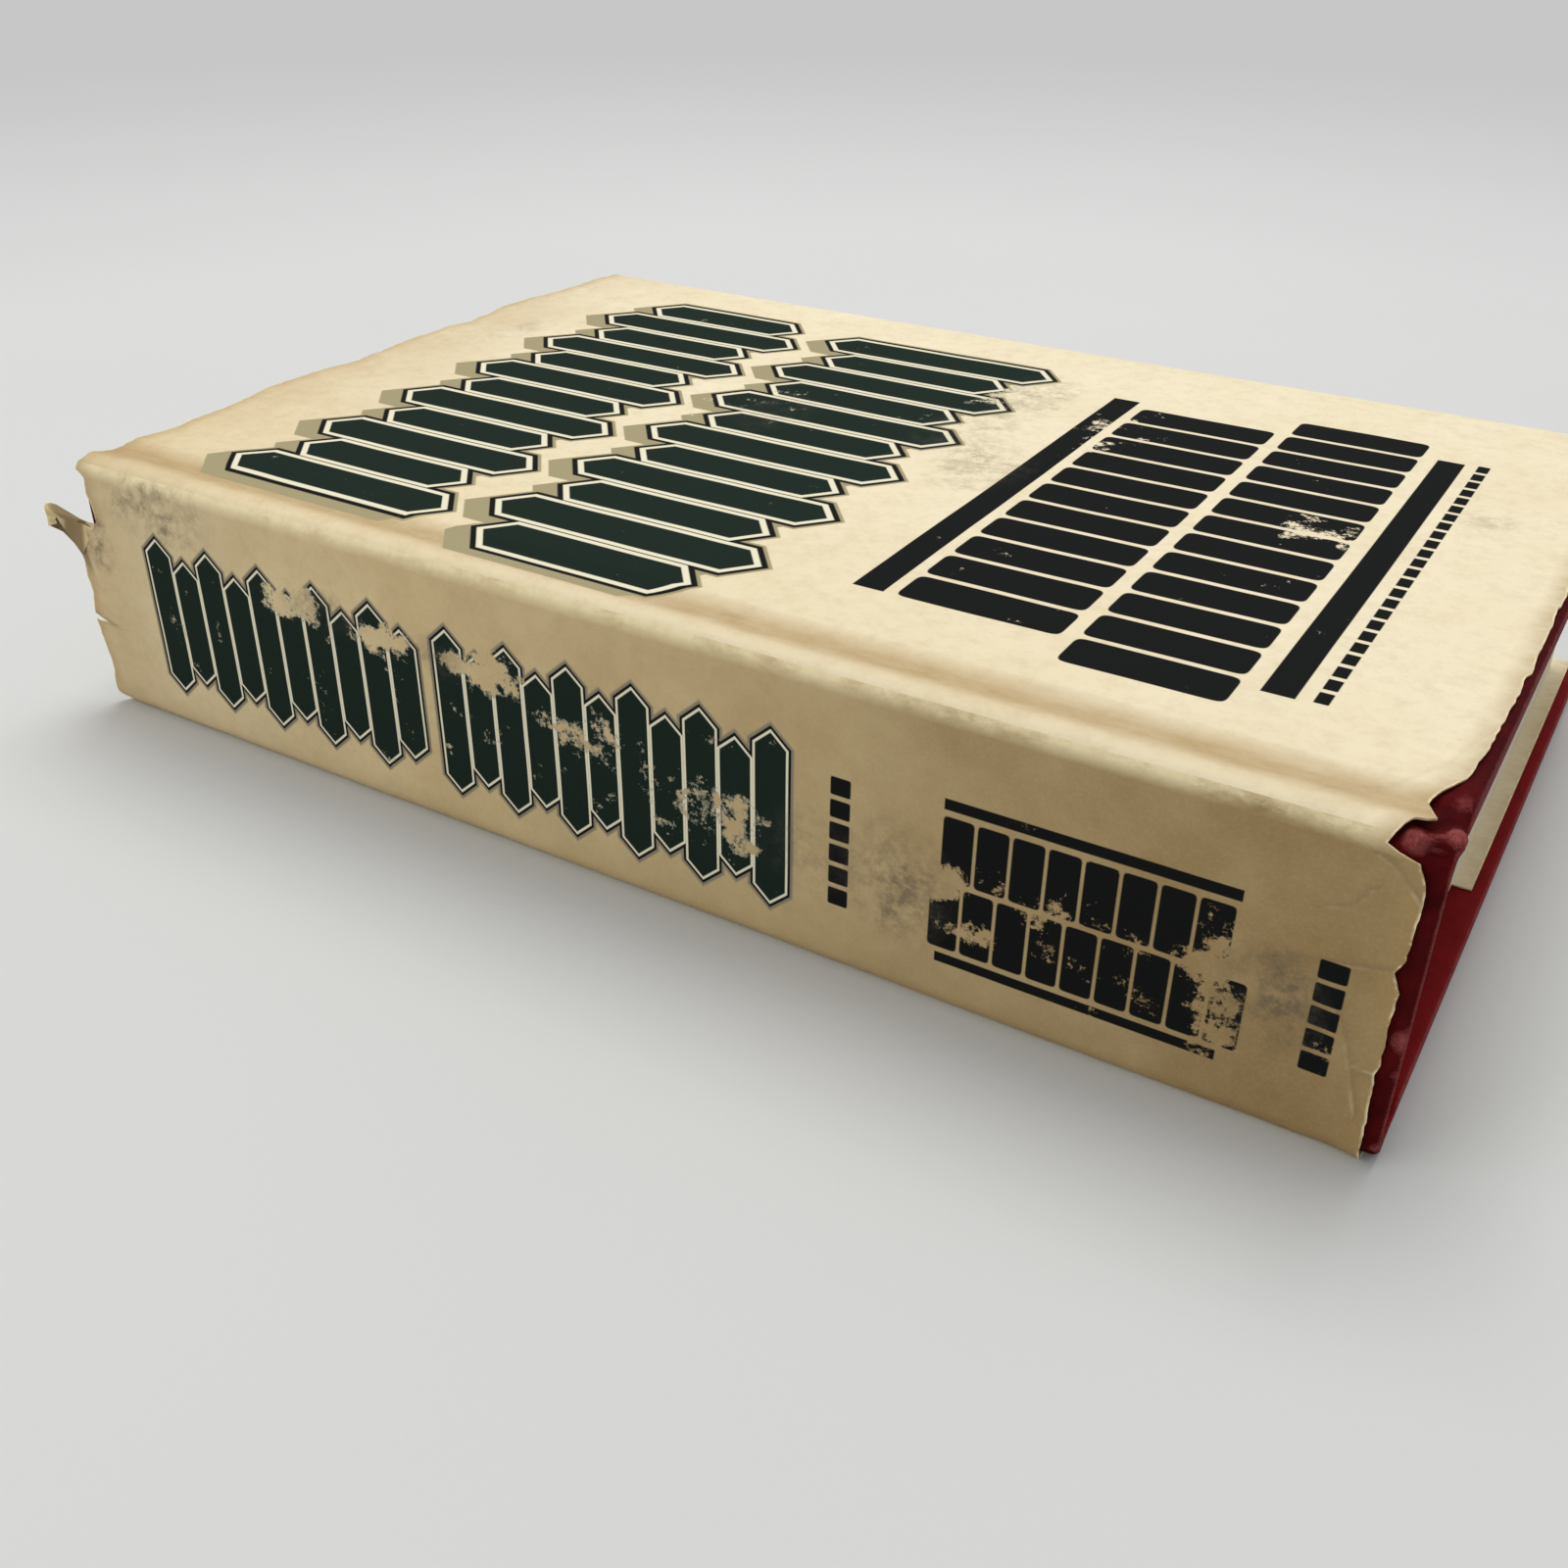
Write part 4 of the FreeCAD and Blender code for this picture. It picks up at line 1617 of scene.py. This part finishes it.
@dataclass
class Case:
    """The case: its cloth, boards, spine inlay and the papers pasted into it."""

    front: ClothSheet = field(
        default_factory=lambda: ClothSheet(
            name="front_case_cloth",
            side=Cover.FRONT,
            inset=BOOK.jacket,
            depth=BOOK.case_depth,
            turn_end_y=BOOK.fore_y - BOOK.jacket - BOOK.turn_in,
            columns=130,
            panel_rows=34,
            spine_rows=36,
            turn_rows=5,
            fold_rows=12,
            joint_rows=12,
            middle_columns=100,
            lumps=(
                Lump((103.8, -71.3, 43.2), 2.2, (0.2, -0.8, 1.3), 0.82),
                Lump((106.9, -69.4, 43.0), 1.9, (0.6, -0.6, 1.6), 0.95),
                Lump((104.9, -66.4, 44.0), 1.9, (0.0, 0.0, 0.8), 0.6),
                Lump((106.6, -63.2, 44.2), 1.8, (0.0, 0.0, 0.5), 0.62),
                Lump((105.3, -69.7, 44.0), 1.1, (-0.1, 0.3, -0.9)),
                Lump((107.9, -72.8, 19.0), 2.2, (0.0, 0.0, 0.0), 0.84),
                Lump((107.9, -72.8, 14.2), 1.1, (0.0, 0.0, 0.0), 0.76),
                Lump((107.9, -72.2, 3.0), 1.5, (0.1, 0.0, 0.0), 0.8),
                Lump((107.9, -70.6, 0.8), 1.5, (0.0, 0.0, 0.0), 0.8),
            ),
        )
    )
    back: ClothSheet = field(
        default_factory=lambda: ClothSheet(
            name="back_case_cloth",
            side=Cover.BACK,
            inset=BOOK.jacket,
            depth=BOOK.case_depth,
            turn_end_y=BOOK.fore_y - BOOK.jacket - BOOK.turn_in,
            columns=100,
            panel_rows=34,
            spine_rows=1,
            turn_rows=5,
        )
    )
    cloth: BookCloth = field(default_factory=BookCloth)
    flat_height: float = 253.4
    front_reach: float = 210.5
    back_reach: float = 161.7
    board: StockFinish = StockFinish(
        "grey board", srgb(160, 148, 126), srgb(116, 104, 84), 0.9, 0.12, 0.85
    )
    leaf: StockFinish = StockFinish(
        "endpaper", srgb(232, 223, 200), srgb(214, 199, 166), 0.5, 0.03, 0.7
    )
    card: StockFinish = StockFinish(
        "spine card", srgb(178, 156, 118), srgb(140, 118, 84), 0.8, 0.06, 0.8
    )

    def build(self) -> None:
        """Makes the cloth and dresses the boards and papers of the frame."""
        cloth = self.cloth.make()
        front = self.front.build(cloth)
        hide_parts("spine_cloth", "front_joint_cloth", "front_cloth")
        back = self.back.build(cloth)
        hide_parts("back_joint_cloth", "back_cloth")
        for piece in (front, back):
            log.info("made %s, %d faces", piece.name, len(piece.data.polygons))
        board, leaf, card = self.board.make(), self.leaf.make(), self.card.make()
        for node in ("front_board", "back_board"):
            dress(node, board)
        for node in ("front_pastedown", "back_pastedown", "front_endpaper", "back_endpaper"):
            dress(node, leaf)
        dress("spine_inlay", card)


def dress(node: str, finish: bpy.types.Material) -> None:
    """Gives a piece of the frame its material.

    Args:
        node: The piece's name in the frame.
        finish: The material.
    """
    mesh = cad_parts[node].data
    mesh.materials.clear()
    mesh.materials.append(finish)
    log.info("dressed %s", node)


@dataclass
class Pages:
    """The text block: its leaves' edges, with the gauze and the lining on its spine."""

    half_height: float = 103.5
    spine_y: float = -70.4
    fore_y: float = 68.25
    low: float = 4.5
    high: float = 40.9
    leaves: int = 110
    unevenness: float = 0.05
    edges: PageEdges = field(default_factory=PageEdges)
    gauze: GauzeFinish = field(default_factory=GauzeFinish)
    lining: StockFinish = StockFinish(
        "spine lining paper", srgb(190, 164, 120), srgb(156, 130, 92), 0.7, 0.06, 0.85
    )

    def build(self) -> None:
        """Makes the block of leaves and dresses what is glued to its spine."""
        low = Vector((-self.half_height, self.spine_y, self.low))
        high = Vector((self.half_height, self.fore_y, self.high))
        bench = Bench.block("page_block", low, high)
        bench.pick("EDGE", lambda ends: abs(ends[0].z - ends[1].z) > 1e-4)
        bpy.ops.mesh.subdivide(number_cuts=self.leaves)
        piece = bench.leave()
        places = read_places(piece)
        level = np.rint((places[:, 2] - self.low) / (self.high - self.low) * (self.leaves + 1))
        inside = (level > 0) & (level <= self.leaves)
        jitter = np.array([noise.noise(Vector((n * 0.83, 4.2, 0.0))) for n in level])
        section = np.array([noise.noise(Vector((n * 0.11, 9.1, 0.0))) for n in level])
        back_in = np.where(inside, (jitter + section * 1.2) * self.unevenness + 0.09, 0.0)
        for axis in (0, 1):
            middle = 0.0 if axis == 0 else (self.spine_y + self.fore_y) / 2
            ends = places[:, axis] > middle
            if axis == 0:
                places[:, 0] -= np.where(ends, back_in, -back_in)
            else:
                places[:, 1] -= np.where(ends, back_in, 0.0)
        write_places(piece, places)
        piece.data.materials.clear()
        piece.data.materials.append(self.edges.make())
        finish_piece(piece, 20.0)
        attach(piece, "book_block")
        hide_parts("text_block")
        log.info("made %s, %d faces", piece.name, len(piece.data.polygons))
        gauze = self.gauze.make()
        for node in ("spine_gauze", "front_gauze_flange", "back_gauze_flange"):
            dress(node, gauze)
        dress("spine_lining", self.lining.make())


# ---- The studio ----


@dataclass(frozen=True)
class Lamp:
    """A soft square lamp, aimed at a point."""

    name: str
    place: tuple[float, float, float]
    aim: tuple[float, float, float]
    size: float
    power: float
    tint: Colour = (1.0, 1.0, 1.0)

    def hang(self) -> None:
        """Puts the lamp up."""
        data = bpy.data.lights.new(self.name, "AREA")
        data.shape = "SQUARE"
        data.size = self.size
        data.energy = self.power
        data.color = self.tint
        lamp = bpy.data.objects.new(self.name, data)
        lamp.location = self.place
        toward = Vector(self.aim) - Vector(self.place)
        lamp.rotation_euler = toward.to_track_quat("-Z", "Y").to_euler()
        bpy.context.scene.collection.objects.link(lamp)


@dataclass
class Studio:
    """The pale floor, the soft lamps and the camera."""

    floor_size: float = 7.0
    floor_tint: Colour = srgb(212, 213, 212)
    sky_tint: Colour = (0.97, 0.98, 1.0)
    sky_strength: float = 0.48
    backdrop_tint: Colour = srgb(198, 199, 198)
    lamps: tuple[Lamp, ...] = (
        Lamp("window lamp", (-0.15, 0.45, 1.45), (0.0, 0.0, 0.0), 1.0, 14.5, (1.0, 0.99, 0.97)),
        Lamp("front fill", (-0.8, -0.95, 0.65), (0.0, 0.0, 0.0), 1.0, 5.0, (1.0, 0.98, 0.94)),
    )
    camera_place: tuple[float, float, float] = (0.1207, -0.2282, 0.1364)
    camera_right: tuple[float, float, float] = (0.8532, 0.5216, 0.0074)
    camera_up: tuple[float, float, float] = (-0.2749, 0.4374, 0.8563)
    camera_back: tuple[float, float, float] = (0.4434, -0.7326, 0.5166)
    lens: float = 37.1

    def lay_floor(self) -> None:
        """Lays the floor, with faint grain and no edge in sight."""
        bpy.ops.object.select_all(action="DESELECT")
        bpy.ops.mesh.primitive_circle_add(
            vertices=96, radius=self.floor_size / 2, fill_type="NGON"
        )
        floor = bpy.context.active_object
        floor.name = "floor"
        sketch = Sketch("pale floor")
        place = sketch.solid_place()
        clouds = sketch.grain(place, 240.0, 3.0, 0.5)
        specks = sketch.grain(place, 0.8, 2.0, 0.5)
        darker = tuple(value * 0.94 for value in self.floor_tint)
        x, y, _ = sketch.axes(place)
        from_book = sketch.math("SQRT", x * x + y * y)
        colour = sketch.mix(clouds.over(0.5, 0.6) * 0.6, self.floor_tint, darker)
        colour = sketch.mix(specks.over(0.55, 0.5) * 0.12, colour, darker)
        sketch.finish(colour, specks * 0.1 + 0.7, sketch.bump(specks, 0.02), 0.15)
        glow = sketch.node("ShaderNodeEmission", {"Color": self.backdrop_tint})
        blend = sketch.node("ShaderNodeMixShader", {0: from_book.over(640.0, 540.0)})
        sketch.tree.links.new(sketch.shader.outputs[0], blend.inputs[1])
        sketch.tree.links.new(glow.outputs[0], blend.inputs[2])
        sketch.tree.links.new(blend.outputs[0], sketch.tree.nodes["Material Output"].inputs[0])
        floor.data.materials.append(sketch.material)

    def light(self) -> None:
        """Hangs the lamps and sets the sky: soft light, and a pale backdrop behind everything."""
        for lamp in self.lamps:
            lamp.hang()
        world = bpy.data.worlds.new("studio")
        bpy.context.scene.world = world
        world.use_nodes = True
        tree = world.node_tree
        sky = tree.nodes["Background"]
        sky.inputs["Color"].default_value = (*self.sky_tint, 1.0)
        sky.inputs["Strength"].default_value = self.sky_strength
        backdrop = tree.nodes.new("ShaderNodeBackground")
        backdrop.inputs["Color"].default_value = (*self.backdrop_tint, 1.0)
        rays = tree.nodes.new("ShaderNodeLightPath")
        choose = tree.nodes.new("ShaderNodeMixShader")
        tree.links.new(rays.outputs["Is Camera Ray"], choose.inputs[0])
        tree.links.new(sky.outputs[0], choose.inputs[1])
        tree.links.new(backdrop.outputs[0], choose.inputs[2])
        tree.links.new(choose.outputs[0], tree.nodes["World Output"].inputs["Surface"])

    def set_camera(self) -> None:
        """Stands the camera where the photograph was taken from."""
        data = bpy.data.cameras.new("camera")
        data.lens = self.lens
        data.sensor_width = 36.0
        data.clip_start = 0.01
        camera = bpy.data.objects.new("camera", data)
        axes = Matrix((self.camera_right, self.camera_up, self.camera_back)).transposed()
        camera.matrix_world = Matrix.Translation(self.camera_place) @ axes.to_4x4()
        bpy.context.scene.collection.objects.link(camera)
        bpy.context.scene.camera = camera

    def build(self) -> None:
        """Sets up the whole studio."""
        self.set_camera()
        self.lay_floor()
        self.light()
        bpy.context.scene.view_settings.view_transform = "Standard"
        log.info("set up the studio")


def main() -> None:
    """Builds the book round its frame, and the studio round the book."""
    for part in (Studio(), Pages(), Case(), Jacket()):
        part.build()


if __name__ == "__main__":
    main()
